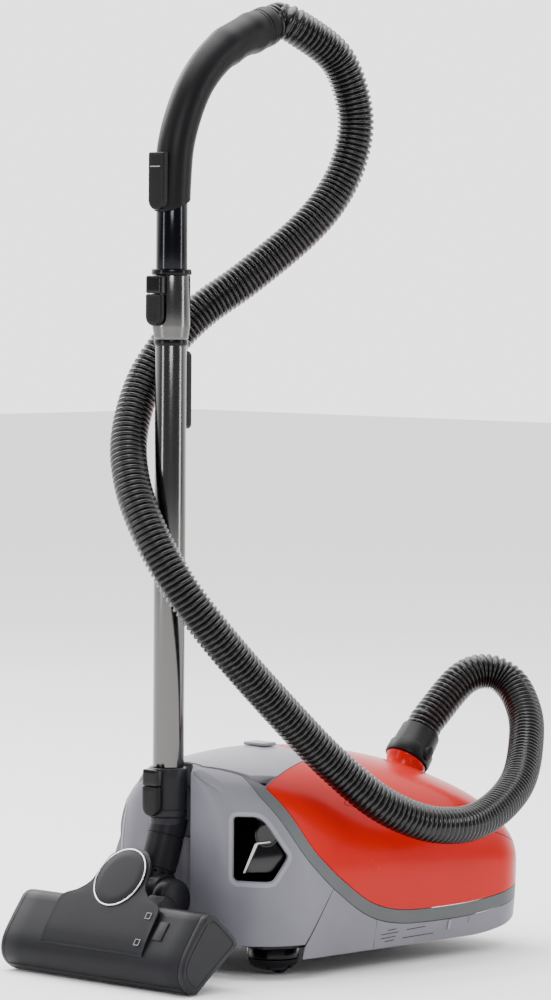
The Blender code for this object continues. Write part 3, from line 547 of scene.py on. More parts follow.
def inset(outline, distance):
    moved = []
    count = len(outline)
    for i in range(count):
        before, here, after = Vector(outline[i - 1]), Vector(outline[i]), Vector(outline[(i + 1) % count])
        first = (here - before).normalized()
        second = (after - here).normalized()
        normal = Vector((-first.y - second.y, first.x + second.x)).normalized()
        spread = max(0.3, normal.dot(Vector((-first.y, first.x))))
        moved.append(tuple(here + normal * distance / spread))
    return moved


def shifted(table, distance):
    moved = []
    for i, here in enumerate(table):
        way = (Vector(table[min(len(table) - 1, i + 1)]) - Vector(table[max(0, i - 1)])).normalized()
        moved.append((here[0] + way.y * distance, here[1] - way.x * distance))
    return moved


def wand_plan(points):
    return [(WAND_X + a, b) for a, b in points]


def cut(piece, other, operation='DIFFERENCE'):
    change = piece.modifiers.new(operation.lower(), 'BOOLEAN')
    change.operation = operation
    change.solver = 'EXACT'
    change.object = other


def baked(piece):
    graph = bpy.context.evaluated_depsgraph_get()
    bm = bmesh.new()
    bm.from_object(piece, graph)
    bmesh.ops.remove_doubles(bm, verts=bm.verts, dist=2e-6)
    bmesh.ops.dissolve_degenerate(bm, edges=bm.edges, dist=1e-6)
    return bm


outer_skin = scratch_object(skin(), "outer_skin")
inner_skin = scratch_object(skin(-WALL, 0.040), "inner_skin")
groove = scratch_object(turned([(0.0, 0.0), (GROOVE_RADIUS, 0.0), (GROOVE_RADIUS, 0.35), (0.0, 0.35)],
                               (WAND_X, 0, 0), steps=96), "groove_cutter")
wall_of_groove = scratch_object(turned([(0.0, -0.05), (GROOVE_RADIUS + WALL, -0.05),
                                        (GROOVE_RADIUS + WALL, 0.40), (0.0, 0.40)], (WAND_X, 0, 0),
                                       steps=96), "groove_wall")
cut(inner_skin, wall_of_groove)


def cover(name, region, cutters=(), under=None):
    """Bmesh of one cover: the skin, hollowed, less the cutters, inside its region."""
    piece = bpy.data.objects.new(name, outer_skin.data.copy())
    bpy.context.scene.collection.objects.link(piece)
    cut(piece, groove)
    cut(piece, under or inner_skin)
    for cutter in cutters:
        cut(piece, cutter)
    cut(piece, region, 'INTERSECT')
    bm = baked(piece)
    bpy.data.objects.remove(piece)
    return bm


def side_region(name, outline):
    return scratch_object(slab(inset(wand_plan(outline), SEAM / 2), -0.17, 0.17, along_y), name)


hexagon = [(0.026, 0.0295), (0.063, 0.091), (0.164, 0.062)]


def hexagon_plan(shrink):
    right = [(WAND_X + a, -b) for a, b in hexagon]
    left = [(WAND_X + a, b) for a, b in reversed(hexagon)]
    return inset(right + left, shrink)


TOP = 0.300
recess = scratch_object(slab(hexagon_plan(-SEAM / 2), 0.150, TOP, along_z), "recess_cutter")
LID_LINE = smooth_line(LID_EDGE, 4)
lid_zone = LID_LINE + [(0.490, TOP), (0.165, TOP)]
lid_space = scratch_object(slab(inset(wand_plan(lid_zone), -SEAM / 2), -0.17, 0.17, along_y), "lid_space")
band_edge = shifted(EDGE_LINE, BAND_WIDTH)
print("skin points", len(outer_skin.data.vertices))

# %% [markdown]
# ## Windows in the rear corners
# Each rear corner has a six-sided window onto the dust container. The opening is cut with
# a straight tool, and a separate rim follows the curved skin around it: every point of
# the outline is dropped onto the skin by a ray, then pushed in to make the bevel.

# %% Window outline and cutters
from mathutils.bvhtree import BVHTree

WINDOW = [(-0.036, 0.182), (-0.008, 0.1815), (0.002, 0.174), (0.0265, 0.138), (0.0235, 0.131),
          (0.010, 0.110), (0.004, 0.108), (-0.032, 0.1085), (-0.036, 0.113)]


def rounded(outline, radius, steps=4):
    """Closed outline with each corner turned into a short arc."""
    out = []
    count = len(outline)
    for i in range(count):
        here = Vector(outline[i])
        back = Vector(outline[i - 1]) - here
        on = Vector(outline[(i + 1) % count]) - here
        reach = min(radius, back.length * 0.45, on.length * 0.45)
        a = here + back.normalized() * reach
        b = here + on.normalized() * reach
        for k in range(steps + 1):
            t = k / steps
            out.append(tuple(a * (1 - t) ** 2 + here * (2 * t * (1 - t)) + b * t * t))
    return out


def densified(outline, step):
    out = []
    count = len(outline)
    for i in range(count):
        a = Vector(outline[i])
        b = Vector(outline[(i + 1) % count])
        parts = max(1, round((b - a).length / step))
        out += [tuple(a.lerp(b, k / parts)) for k in range(parts)]
    return out


def corner_frame(side):
    centre = Vector((REAR_X + REAR_CORNER, side * (HALF_WIDTH - REAR_CORNER), 0.0))
    return centre, Vector((1, side, 0)).normalized(), Vector((-1, side, 0)).normalized()


def window_cutter(side, name):
    centre, tangent, outward = corner_frame(side)
    bm = bmesh.new()
    ring = [bm.verts.new(centre + tangent * a + outward * 0.030 + Vector((0, 0, z)))
            for a, z in rounded(WINDOW, 0.006)]
    face = bm.faces.new(ring)
    grown = bmesh.ops.extrude_face_region(bm, geom=[face])
    moved = [v for v in grown["geom"] if isinstance(v, bmesh.types.BMVert)]
    bmesh.ops.translate(bm, vec=outward * 0.08, verts=moved)
    bmesh.ops.recalc_face_normals(bm, faces=bm.faces)
    return scratch_object(bm, name)


windows = [window_cutter(-1, "window_cutter_right"), window_cutter(1, "window_cutter_left")]
outer_tree = BVHTree.FromObject(outer_skin, bpy.context.evaluated_depsgraph_get())


def on_skin(side, a, z, lift):
    centre, tangent, outward = corner_frame(side)
    origin = centre + tangent * a + Vector((0, 0, z)) + outward * 0.3
    hit, normal, _, _ = outer_tree.ray_cast(origin, -outward)
    return hit + normal * lift, outward


def window_rim(side, name):
    """Bevelled rim: up from the skin, over, and down into the opening."""
    outline = densified(rounded(WINDOW, 0.006), 0.002)
    wide = inset(outline, 0.0042) if inset_is_outward(outline) else inset(outline, -0.0042)
    near = inset(outline, 0.0016) if inset_is_outward(outline) else inset(outline, -0.0016)
    bm = bmesh.new()
    rows = []
    for line, lift, push in ((wide, -0.0004, 0.0), (wide, 0.0004, 0.0), (near, 0.0007, 0.0),
                             (outline, 0.0002, 0.0), (inset_toward(outline, 0.0016), 0.0, 0.0065),
                             (inset_toward(outline, 0.0016), 0.0, 0.0075), (outline, -0.0005, 0.0075)):
        row = []
        for a, z in line:
            place, outward = on_skin(side, a, z, lift)
            row.append(bm.verts.new(place - outward * push))
        rows.append(row)
    count = len(rows[0])
    for first, second in zip(rows, rows[1:] + rows[:1]):
        for i in range(count):
            j = (i + 1) % count
            bm.faces.new((first[i], first[j], second[j], second[i]))
    bmesh.ops.recalc_face_normals(bm, faces=bm.faces)
    return finished(bm, name, housing_light, "canister", angle=40)


def inset_is_outward(outline):
    area = sum(a[0] * b[1] - b[0] * a[1] for a, b in zip(outline, outline[1:] + outline[:1]))
    return area < 0


def inset_toward(outline, distance):
    return inset(outline, -distance if inset_is_outward(outline) else distance)


# %% [markdown]
# ## The five covers
# The red bonnet and lid, the grey band under them, the rear housing and the skirt are all
# cut from the skin with flat outlines pushed through from side to side. A seam of under a
# millimetre stays open between neighbours, which reads as the dark shut line.

# %% Covers cut from the skin
def pedal_frame(side):
    along = Vector((0.30, side * 0.78, -0.55)).normalized()
    rough = Vector((-0.55, side * 0.35, 0.76))
    normal = (rough - along * rough.dot(along)).normalized()
    turn = Matrix((along, normal.cross(along), normal)).transposed().to_4x4()
    return Matrix.Translation((WAND_X + 0.0185, side * 0.055, 0.2165)) @ turn


bonnet_zone = [(EDGE_LINE[0][0], TOP)] + EDGE_LINE + [(0.490, TOP)]
bonnet = finished(cover("bonnet", side_region("bonnet_zone", bonnet_zone), [recess, lid_space]),
                  "bonnet_skin", hood_red, "canister", ["bonnet"], angle=50)

band_zone = [(band_edge[0][0], TOP)] + band_edge + list(reversed(EDGE_LINE)) + [(EDGE_LINE[0][0], TOP)]
band = finished(cover("band", side_region("band_zone", band_zone), [recess]),
                "band_skin", band_grey, "canister", ["trim_band"], angle=50)

over = next(i for i, p in enumerate(band_edge) if p[0] > 0.119)
joint = (0.119, between(band_edge, 0.119))
rear_zone = [(-0.03, HOUSING_Z), (0.077, HOUSING_Z), joint] + list(reversed(band_edge[:over]))
rear_zone += [(band_edge[0][0], TOP), (-0.03, TOP)]
housing = finished(cover("housing", side_region("rear_zone", rear_zone), [recess] + windows),
                   "housing_skin", housing_grey, "canister", ["rear_housing"], angle=50)
for side, name in ((-1, "window_rim_right"), (1, "window_rim_left")):
    window_rim(side, name)

skirt_zone = [(0.072, 0.0), (0.490, 0.0), band_edge[-1]] + list(reversed(band_edge[over:-1]))
skirt_zone += [joint, (0.077, 0.035)]
skirt = finished(cover("skirt", side_region("skirt_zone", skirt_zone)),
                 "skirt_skin", housing_grey, "canister", ["chassis_skirt"], angle=50)

# %% [markdown]
# ## Lid with the inlet neck
# The lid covers the dust room and carries the neck that the hose plugs into. The neck is a
# waisted spool turned about its own leaning axis, joined to the lid and then bored.

# %% Lid, neck and carrying handle
lid_obj = bpy.data.objects.new("lid_work", bpy.data.meshes.new("lid_work"))
bpy.context.scene.collection.objects.link(lid_obj)
lid_bm = cover("lid", side_region("lid_zone", lid_zone))
lid_bm.to_mesh(lid_obj.data)
lid_bm.free()
neck_line = smooth_curve([(0.036, -0.026, 0), (0.0300, -0.016, 0), (0.0255, -0.004, 0), (0.0212, 0.007, 0),
                          (0.0200, 0.017, 0), (0.0215, 0.027, 0), (0.0242, 0.0335, 0), (0.0250, 0.036, 0)], 4)
neck = scratch_object(turned([(0.0, -0.026)] + [(p.x, p.y) for p in neck_line] + [(0.0, 0.036)],
                             NECK_BASE, NECK_AXIS, steps=96), "neck_shape")
bore = scratch_object(turned([(0.0, -0.08), (0.0165, -0.08), (0.0165, 0.08), (0.0, 0.08)], NECK_BASE,
                             NECK_AXIS, steps=64), "neck_bore")
cut(lid_obj, neck, 'UNION')
cut(lid_obj, bore)
lid = finished(baked(lid_obj), "lid_skin", hood_red, "lid", ["hood_lid"], angle=50)
bpy.data.objects.remove(lid_obj)

handle_under = scratch_object(skin(-0.007, 0.040), "handle_under")
handle_half = [(0.0285, 0.0275), (0.058, 0.071), (0.0885, 0.0828), (0.1637, 0.0612)]
handle_plan = (wand_plan([(a, -b) for a, b in handle_half])
               + wand_plan([(a, b) for a, b in reversed(handle_half)]))
handle_zone = scratch_object(slab(handle_plan, 0.150, TOP, along_z), "handle_zone")
handle_bm = cover("handle", handle_zone, under=handle_under)
handle = finished(handle_bm, "handle_skin", housing_light, "canister", ["carry_handle"],
                  angle=40)
print("covers cut:", [len(o.data.polygons) for o in (bonnet, band, housing, skirt, lid, handle)])
# %% [markdown]
# ## Recess, pedals and latch
# Fingers reach into a scooped recess under the handle. It is a second skin set well below
# the first, so its floor keeps the same curve. Two long foot pads sit on the rear arch.

# %% Recess tray, foot pads and latch
tray_outer = scratch_object(skin(-0.0240), "tray_outer")
tray_inner = scratch_object(skin(-0.0270, 0.040), "tray_inner")
tray_zone = scratch_object(slab(hexagon_plan(0.0004), 0.150, TOP, along_z), "tray_zone")
tray_groove = scratch_object(turned([(0.0, 0.0), (0.0313, 0.0), (0.0313, 0.35), (0.0, 0.35)], (WAND_X, 0, 0),
                                    steps=64), "tray_groove")
tray_obj = bpy.data.objects.new("tray_work", tray_outer.data.copy())
bpy.context.scene.collection.objects.link(tray_obj)
for other, operation in ((tray_groove, 'DIFFERENCE'), (tray_inner, 'DIFFERENCE'), (tray_zone, 'INTERSECT')):
    cut(tray_obj, other, operation)
finished(baked(tray_obj), "recess_floor", band_grey, "canister", ["handle_tray"], angle=50)
bpy.data.objects.remove(tray_obj)


def recess_wall():
    """Thin wall round the recess, from just under the skin down to its floor."""
    plan = densified(hexagon_plan(0.0006), 0.004)
    tree = BVHTree.FromObject(outer_skin, bpy.context.evaluated_depsgraph_get())
    bm = bmesh.new()
    inner = inset(plan, 0.0016)
    rows = []
    for line, drop in ((plan, 0.0012), (plan, 0.0260), (inner, 0.0260), (inner, 0.0012)):
        row = []
        for x, y in line:
            hit = tree.ray_cast(Vector((x, y, 0.5)), Vector((0, 0, -1)))[0]
            row.append(bm.verts.new((x, y, (hit.z if hit else 0.2) - drop)))
        rows.append(row)
    count = len(plan)
    for first, second in zip(rows, rows[1:] + rows[:1]):
        for i in range(count):
            if abs(first[i].co.x - WAND_X) < 0.0275 and abs(first[i].co.y) < 0.029:
                continue
            j = (i + 1) % count
            bm.faces.new((first[i], first[j], second[j], second[i]))
    bmesh.ops.recalc_face_normals(bm, faces=bm.faces)
    return finished(bm, "recess_wall", band_grey, "canister", angle=40)


recess_wall()


def foot_pad(side, name):
    """Long raised pad: a rounded bar with a crowned top, bent to follow the arch."""
    bm = bmesh.new()
    steps, points = 28, 24
    rings = []
    for i in range(steps + 1):
        t = i / steps
        s = (t - 0.5) * 0.058
        swell = math.sqrt(max(0.0, 1 - (2 * t - 1) ** 6)) if 0 < i < steps else 0.10
        ring = []
        for k in range(points):
            a = 2 * math.pi * k / points
            across = math.copysign(abs(math.cos(a)) ** 0.7, math.cos(a)) * 0.0062 * swell
            up = math.copysign(abs(math.sin(a)) ** 0.7, math.sin(a)) * 0.0036 * swell
            ring.append(bm.verts.new((s, across, up - 0.0006 - 6.0 * s * s)))
        rings.append(ring)
    for first, second in zip(rings, rings[1:]):
        for k in range(points):
            j = (k + 1) % points
            bm.faces.new((first[k], first[j], second[j], second[k]))
    bm.faces.new(rings[0])
    bm.faces.new(rings[-1])
    bmesh.ops.recalc_face_normals(bm, faces=bm.faces)
    bm.transform(pedal_frame(side))
    return finished(bm, name, housing_grey, "pedal_right" if side < 0 else "pedal_left",
                    ["power_pedal" if side < 0 else "rewind_pedal"], angle=60)


foot_pad(-1, "power_foot_pad")
foot_pad(1, "rewind_foot_pad")
low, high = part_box("lid_latch")
finished(rounded_box(low, high, 0.0016, 5), "latch_slide", housing_light, "latch",
         ["lid_latch"])

# %% [markdown]
# ## Castors
# A castor is a dome that turns on a stem, with a small wheel in a slot off its centre so
# that it trails. The upper dome and the fairing are one turned shape each.

# %% Castors
for place in ("rear_right", "rear_left", "front"):
    low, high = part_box("castor_fork_" + place)
    cx, cy = (low[0] + high[0]) / 2, (low[1] + high[1]) / 2
    top = 0.0335
    wheel_low, wheel_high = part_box("castor_wheel_" + place)
    wx, wz = (wheel_low[0] + wheel_high[0]) / 2, (wheel_low[2] + wheel_high[2]) / 2
    dome = [(0.0, 0.0180), (0.0270, 0.0180), (0.0290, 0.0200), (0.0290, top - 0.004), (0.0280, top - 0.001),
            (0.0260, top), (0.0, top)]
    finished(turned(dome, (cx, cy, 0), steps=72), "castor_dome_" + place, gloss_black, "castor_" + place,
             ["castor_fork_" + place])
    fairing = [(0.0, 0.0052), (0.0130, 0.0052), (0.0205, 0.0070), (0.0255, 0.0108), (0.0278, 0.0150),
               (0.0282, 0.0178), (0.0, 0.0178)]
    work = scratch_object(turned(fairing, (cx, cy, 0), steps=72), "fairing")
    room = scratch_object(rounded_box((wx - 0.0138, cy - 0.0078, -0.01),
                                      (wx + 0.0138, cy + 0.0078, wz + 0.0138),
                                      0.001, 2), "wheel_room")
    cut(work, room)
    for k in range(6):
        a = math.radians(30 + 60 * k)
        notch = scratch_object(rounded_box((-0.0035, -0.0022, 0.0), (0.0035, 0.0022, 0.0085), 0.001, 2),
                               "notch")
        notch.data.transform(Matrix.Translation((cx + 0.0225 * math.cos(a), cy + 0.0225 * math.sin(a), 0.004))
                             @ Matrix.Rotation(a, 4, 'Z'))
        cut(work, notch)
    finished(baked(work), "castor_fairing_" + place, head_black, "castor_" + place)
    r = 0.012
    tyre = [(0.0023, -0.0062), (0.0085, -0.0062), (0.0092, -0.0070), (r - 0.0016, -0.0070),
            (r - 0.0004, -0.0058),
            (r, -0.0040), (r, 0.0040), (r - 0.0004, 0.0058), (r - 0.0016, 0.0070), (0.0092, 0.0070),
            (0.0085, 0.0062), (0.0023, 0.0062)]
    finished(turned(tyre, (wx, cy, r), (0, 1, 0), steps=64), "castor_tyre_" + place, tread_rubber,
             "wheel_" + place, ["castor_wheel_" + place])

# %% [markdown]
# ## Wand
# The wand is two drawn steel tubes, one sliding in the other. A profile with a small lip
# is turned on 96 steps, so the edge catches a fine bright line. Collars and rings are made
# the same way, with a shallow groove where two mouldings meet.

# %% Tubes, collars and rings
def node_span(name):
    low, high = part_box(name)
    return low[2], high[2]


def ring_piece(profile, name, finish, body, node, steps=96):
    return finished(turned(profile, (WAND_X, 0, 0), steps=steps), name, finish, body, [node], angle=30)


low, high = node_span("outer_tube")
ring_piece(tapered_ring(0.0159, 0.0175, 0.0175, low, high, 0.0006), "outer_wand_tube", drawn_steel,
           "upper_wand",
           "outer_tube")
low, high = node_span("inner_tube")
ring_piece(tapered_ring(0.0143, 0.0155, 0.0155, low, high, 0.0006), "inner_wand_tube", drawn_steel,
           "canister",
           "inner_tube")
low, high = node_span("tail_tube")
ring_piece(tapered_ring(0.0163, 0.0175, 0.0175, low, high, 0.0006), "grip_tail_tube", smoked_chrome,
           "upper_wand", "tail_tube")
low, high = node_span("wand_socket")
socket = [(0.0178, low), (0.0186, low), (0.0190, low + 0.0006), (0.0192, low + 0.003), (0.0209, low + 0.013),
          (0.0212, low + 0.016), (0.0212, high - 0.0012), (0.0209, high - 0.0003), (0.0204, high),
          (0.0178, high)]
ring_piece(socket, "wand_end_socket", drawn_steel, "upper_wand", "wand_socket")
low, high = node_span("socket_ring")
ring_piece(tapered_ring(0.0178, 0.0225, 0.0222, low, high, 0.0014), "socket_lock_ring", gloss_black,
           "upper_wand",
           "socket_ring")
low, high = node_span("socket_seal")
ring_piece(tapered_ring(0.0178, 0.0188, 0.0192, low, high, 0.0012), "socket_foot_seal", gloss_black,
           "upper_wand",
           "socket_seal")
low, high = node_span("neck_collar")
collar = [(0.0158, low), (0.0200, low), (0.0208, low + 0.0008), (0.0213, low + 0.002), (0.0213, low + 0.008),
          (0.0207, low + 0.0084), (0.0207, low + 0.0092), (0.0213, low + 0.0096), (0.0214, high - 0.012),
          (0.0213, high - 0.003), (0.0206, high - 0.0008), (0.0196, high), (0.0158, high)]
ring_piece(collar, "neck_end_collar", head_light, "canister", "neck_collar")


# %% [markdown]
# ## Buttons
# Buttons and their guards are flat outlines with rounded corners, pushed out from the tube
# and bevelled twice as wide at the face as at the root.

# %% Buttons, guards, lever and valve
def tongue(half, low, high, round_low, round_high, steps=12):
    """Outline with its own rounding at the foot and at the head."""
    out = []
    for cy, cz, r, start in ((half - round_low, low + round_low, round_low, -90),
                             (half - round_high, high - round_high, round_high, 0),
                             (-half + round_high, high - round_high, round_high, 90),
                             (-half + round_low, low + round_low, round_low, 180)):
        for k in range(steps + 1):
            a = math.radians(start + 90 * k / steps)
            out.append((cy + r * math.cos(a), cz + r * math.sin(a)))
    return out


def shrunk(outline, distance):
    """Outline drawn in about its own middle, so that small corners never fold over."""
    low_a, high_a = min(p[0] for p in outline), max(p[0] for p in outline)
    low_b, high_b = min(p[1] for p in outline), max(p[1] for p in outline)
    mid_a, mid_b = (low_a + high_a) / 2, (low_b + high_b) / 2
    scale_a = 1 - 2 * distance / (high_a - low_a)
    scale_b = 1 - 2 * distance / (high_b - low_b)
    return [(mid_a + (a - mid_a) * scale_a, mid_b + (b - mid_b) * scale_b) for a, b in outline]


def pushed(outline, root, face, soft, name, finish, body, nodes=()):
    """Plate from root to face along X, with a soft edge on the face side."""
    bm = bmesh.new()
    sign = 1 if face > root else -1
    rows = []
    for inward, x in ((0.0, root), (0.0, face - sign * soft), (soft * 0.30, face - sign * soft * 0.30),
                      (soft, face), (soft * 2.2, face + sign * 0.0001)):
        rows.append([bm.verts.new((x, a, b)) for a, b in shrunk(outline, inward)])
    count = len(rows[0])
    for first, second in zip(rows, rows[1:]):
        for i in range(count):
            j = (i + 1) % count
            bm.faces.new((first[i], first[j], second[j], second[i]))
    bm.faces.new(rows[0])
    bm.faces.new(rows[-1])
    bmesh.ops.recalc_face_normals(bm, faces=bm.faces)
    return finished(bm, name, finish, body, nodes, angle=40)


for button, guard, body, base in (("socket_button", "socket_guard", "socket_release", "upper_wand"),
                                  ("collar_button", "collar_guard", "collar_release", "canister")):
    low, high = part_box(button)
    pushed(tongue(0.0122, low[2], high[2], 0.0105, 0.0015), high[0], low[0], 0.0026, button + "_face",
           grip_black, body, [button])
    low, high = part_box(guard)
    pushed(tongue(0.0118, low[2], high[2], 0.0012, 0.0020), high[0], low[0] - 0.0006, 0.0018, guard + "_face",
           gloss_black, base, [guard])
low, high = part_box("telescope_lever")
pushed(tongue(0.0072, low[2], high[2], 0.0050, 0.0060), low[0], high[0], 0.0024, "telescope_lever_face",
       grip_black,
       "lever", ["telescope_lever"])
low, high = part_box("air_valve")
pushed(tongue(0.0120, low[2] - 0.002, high[2], 0.0112, 0.0015), high[0] + 0.002, low[0], 0.0020,
       "air_valve_face",
       grip_black, "valve", ["air_valve"])
# A thin light grey bar across the valve face marks its slot; its light colour is a painted highlight along
# the slot edge.
slot_z = high[2] - 0.0165
finished(rounded_box((low[0] - 0.0004, -0.0070, slot_z), (low[0] + 0.002, 0.0085, slot_z + 0.0013), 0.0004,
                     3),
         "valve_slot_highlight", housing_light, "valve")


# %% [markdown]
# ## Grip
# The grip is one curved tube. A ring of points travels along its centre line; the radius
# grows towards the hose end, swells over the swivel, and dips very slightly along two
# lines to leave the mould seams.

# %% Grip and hose collar
GRIP_ROUTE = [(0.0, 0.8490), (0.001, 0.880), (0.006, 0.925), (0.0215, 0.967), (0.041, 0.998), (0.068, 1.024),
              (0.099, 1.042), (0.135, 1.0555)]
grip_line = smooth_curve([(WAND_X + a, 0.0, z) for a, z in GRIP_ROUTE], 14)
grip_length = path_length(grip_line)


def grip_radius(t, angle):
    r = 0.0206 + 0.0022 * max(0.0, (t - 0.55) / 0.45) ** 1.3
    swell = 0.0013 * math.exp(-((t - 0.80) / 0.035) ** 2)
    r += swell * (0.35 + 0.65 * abs(math.sin(angle)))
    r += 0.0016 * math.exp(-((t - 0.955) / 0.030) ** 2) * (0.4 + 0.6 * abs(math.sin(angle)))
    for seam, reach in ((math.radians(-62), 0.92), (math.radians(242), 0.92)):
        away = math.atan2(math.sin(angle - seam), math.cos(angle - seam))
        if t < reach:
            r -= 0.00055 * math.exp(-(away / 0.045) ** 2)
    if t < 0.045:
        r -= 0.0010 * (1 - t / 0.045) ** 2
    return r


def grip_shape():
    bm = bmesh.new()
    points = 128
    rows = []
    frames = frames_along(grip_line)
    for travelled, here, side, up in frames:
        t = travelled / grip_length
        row = []
        for k in range(points):
            a = 2 * math.pi * k / points
            way = side * math.cos(a) + up * math.sin(a)
            row.append(bm.verts.new(here + way * grip_radius(t, a)))
        rows.append(row)
    for first, second in zip(rows, rows[1:]):
        for i in range(points):
            j = (i + 1) % points
            bm.faces.new((first[i], first[j], second[j], second[i]))
    bm.faces.new(rows[0])
    bm.faces.new(rows[-1])
    bmesh.ops.recalc_face_normals(bm, faces=bm.faces)
    slant = Vector((0.42, 0.0, -1.0)).normalized()
    bmesh.ops.bisect_plane(bm, geom=bm.verts[:] + bm.edges[:] + bm.faces[:], dist=1e-6,
                           plane_co=(WAND_X - 0.0206, 0, 0.8485), plane_no=slant, clear_outer=True)
    rim = [e for e in bm.edges if e.is_boundary]
    bmesh.ops.holes_fill(bm, edges=rim, sides=0)
    bmesh.ops.recalc_face_normals(bm, faces=bm.faces)
    return bm


finished(grip_shape(), "grip_tube", grip_black, "upper_wand", ["grip_handle"], angle=50)
end = grip_line[-1]
ring = [(0.0, 0.0002), (0.0222, 0.0002), (0.0230, 0.0010), (0.0230, 0.0040), (0.0224, 0.0044),
        (0.0224, 0.0052),
        (0.0231, 0.0056), (0.0232, 0.0130), (0.0226, 0.0170), (0.0214, 0.0196), (0.0, 0.0198)]
finished(turned(ring, end, GRIP_AXIS, steps=96), "hose_swivel_collar", grip_black, "grip_swivel",
         ["hose_collar"], angle=35)

# %% [markdown]
# ## Hose cuff
# The cuff is a short taper that pushes onto the neck. Its flange, groove and end lip are
# all in one turned profile, and an oval latch button sits on each side.

# %% Cuff and its buttons
cuff_base = NECK_BASE + NECK_AXIS * (NECK_LENGTH + GAP)
cuff = [(0.0, 0.0004), (0.0262, 0.0002), (0.0272, 0.0010), (0.0277, 0.0030), (0.0274, 0.0150),
        (0.0266, 0.0162),
        (0.0252, 0.0180), (0.0238, 0.0400), (0.0232, CUFF_LENGTH - 0.0004), (0.0222, CUFF_LENGTH),
        (0.0, CUFF_LENGTH)]
finished(turned(cuff, cuff_base, NECK_AXIS, steps=96), "inlet_cuff", grip_black, "cuff",
         ["hose_cuff"], angle=35)
for side, sign in (("right", -1), ("left", 1)):
    low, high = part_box("cuff_button_" + side)
    middle = (low + high) / 2
    middle.y = sign * 0.0272
    oval = [(0.0, -0.0010), (0.0092, -0.0010), (0.0092, 0.0012), (0.0086, 0.0021), (0.0070, 0.0027),
            (0.0, 0.0029)]
    bm = turned(oval, (0, 0, 0), (0, 0, 1), steps=48)
    bmesh.ops.scale(bm, vec=(1.0, 0.72, 1.0), verts=bm.verts)
    out = Vector((0, sign, 0))
    frame_matrix = Matrix((NECK_AXIS, out.cross(NECK_AXIS), out)).transposed().to_4x4()
    bm.transform(Matrix.Translation(middle) @ frame_matrix)
    finished(bm, "cuff_latch_button_" + side, grip_black, "cuff_latch_" + side,
             ["cuff_button_" + side], angle=35)

# %% [markdown]
# ## Dust container behind the windows
# Only the ends of the container show through the windows, so that is where the detail
# goes: a stepped cap with a raised hub, a bright moulded rim, and a slanted clear fin.

# %% Container
low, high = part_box("dust_container")
tank = Vector(((low[0] + high[0]) / 2, 0.0, (low[2] + high[2]) / 2))
half = high[1]
finished(turned([(0.0437, -half), (0.0456, -half), (0.0460, -half + 0.0006), (0.0460, half - 0.0006),
                 (0.0456, half), (0.0437, half)], tank, (0, 1,
                                                         0), steps=96), "tank_wall", smoke_clear, "canister",
         ["dust_container"])
for side, sign in (("right", -1), ("left", 1)):
    outward = Vector((0, sign, 0))
    base = tank + outward * (half + GAP)
    cap = [(0.0, 0.0), (0.0456, 0.0), (0.0460, 0.0006), (0.0460, 0.0040), (0.0448, 0.0054), (0.0400, 0.0058),
           (0.0392, 0.0046), (0.0290, 0.0044), (0.0282, 0.0092), (0.0272, 0.0099), (0.0240, 0.0100),
           (0.0232, 0.0090), (0.0226, 0.0060), (0.0, 0.0060)]
    finished(turned(cap, base, outward, steps=96), "tank_cap_" + side, smoke_clear, "canister",
             ["container_cap_" + side], angle=30)
    tangent = Vector((1, sign, 0)).normalized()
    face_out = Vector((-1, sign, 0)).normalized()
    corner = Vector((REAR_X + REAR_CORNER, sign * (HALF_WIDTH - REAR_CORNER), 0.0))
    seat = corner + face_out * 0.0585
    barrel = [(0.0, -0.020), (0.0130, -0.020), (0.0136, -0.019), (0.0136, -0.001), (0.0130, 0.0),
              (0.0118, 0.0002),
              (0.0110, -0.0020), (0.0, -0.0022)]
    finished(turned(barrel, seat + tangent * 0.002 + Vector((0, 0, 0.160)), face_out, steps=72),
             "inlet_barrel_" + side, smoke_clear, "canister", angle=30)
    bm = bmesh.new()
    fin = [(-0.0115, 0.1500), (-0.0095, 0.1515), (0.0060, 0.1535), (0.0060, 0.1520), (-0.0078, 0.1502),
           (-0.0218, 0.1180), (-0.0240, 0.1180)]
    ring_points = [bm.verts.new(seat + tangent * a + Vector((0, 0, z)) + face_out * 0.002) for a, z in fin]
    face = bm.faces.new(ring_points)
    grown = bmesh.ops.extrude_face_region(bm, geom=[face])
    moved = [v for v in grown["geom"] if isinstance(v, bmesh.types.BMVert)]
    bmesh.ops.translate(bm, vec=face_out * -0.006, verts=moved)
    bmesh.ops.recalc_face_normals(bm, faces=bm.faces)
    bmesh.ops.bevel(bm, geom=bm.edges, offset=0.0004, segments=2, affect='EDGES', profile=0.5, material=-1)
    finished(bm, "tank_flap_arm_" + side, fin_clear, "canister")
    bm = bmesh.new()
    panel = [(-0.0215, 0.1175), (-0.0085, 0.1490), (0.0230, 0.1490), (0.0235, 0.1175)]
    ring_points = [bm.verts.new(seat + tangent * a + Vector((0, 0, z)) + face_out * -0.005) for a, z in panel]
    face = bm.faces.new(ring_points)
    grown = bmesh.ops.extrude_face_region(bm, geom=[face])
    moved = [v for v in grown["geom"] if isinstance(v, bmesh.types.BMVert)]
    bmesh.ops.translate(bm, vec=face_out * -0.002, verts=moved)
    bmesh.ops.recalc_face_normals(bm, faces=bm.faces)
    bmesh.ops.bevel(bm, geom=bm.edges, offset=0.0006, segments=2, affect='EDGES', profile=0.5, material=-1)
    finished(bm, "tank_flap_" + side, smoke_clear, "canister")
print("container at", [round(c, 3) for c in tank])

# %% [markdown]
# ## Floor head
# The head is modelled lying flat, in its own axes, and then tipped up about its front
# edge as one, because the real one hangs like that when it is parked. The housing is a
# rounded roll with a flat sole; the cover plate narrows into a tongue over the elbow.

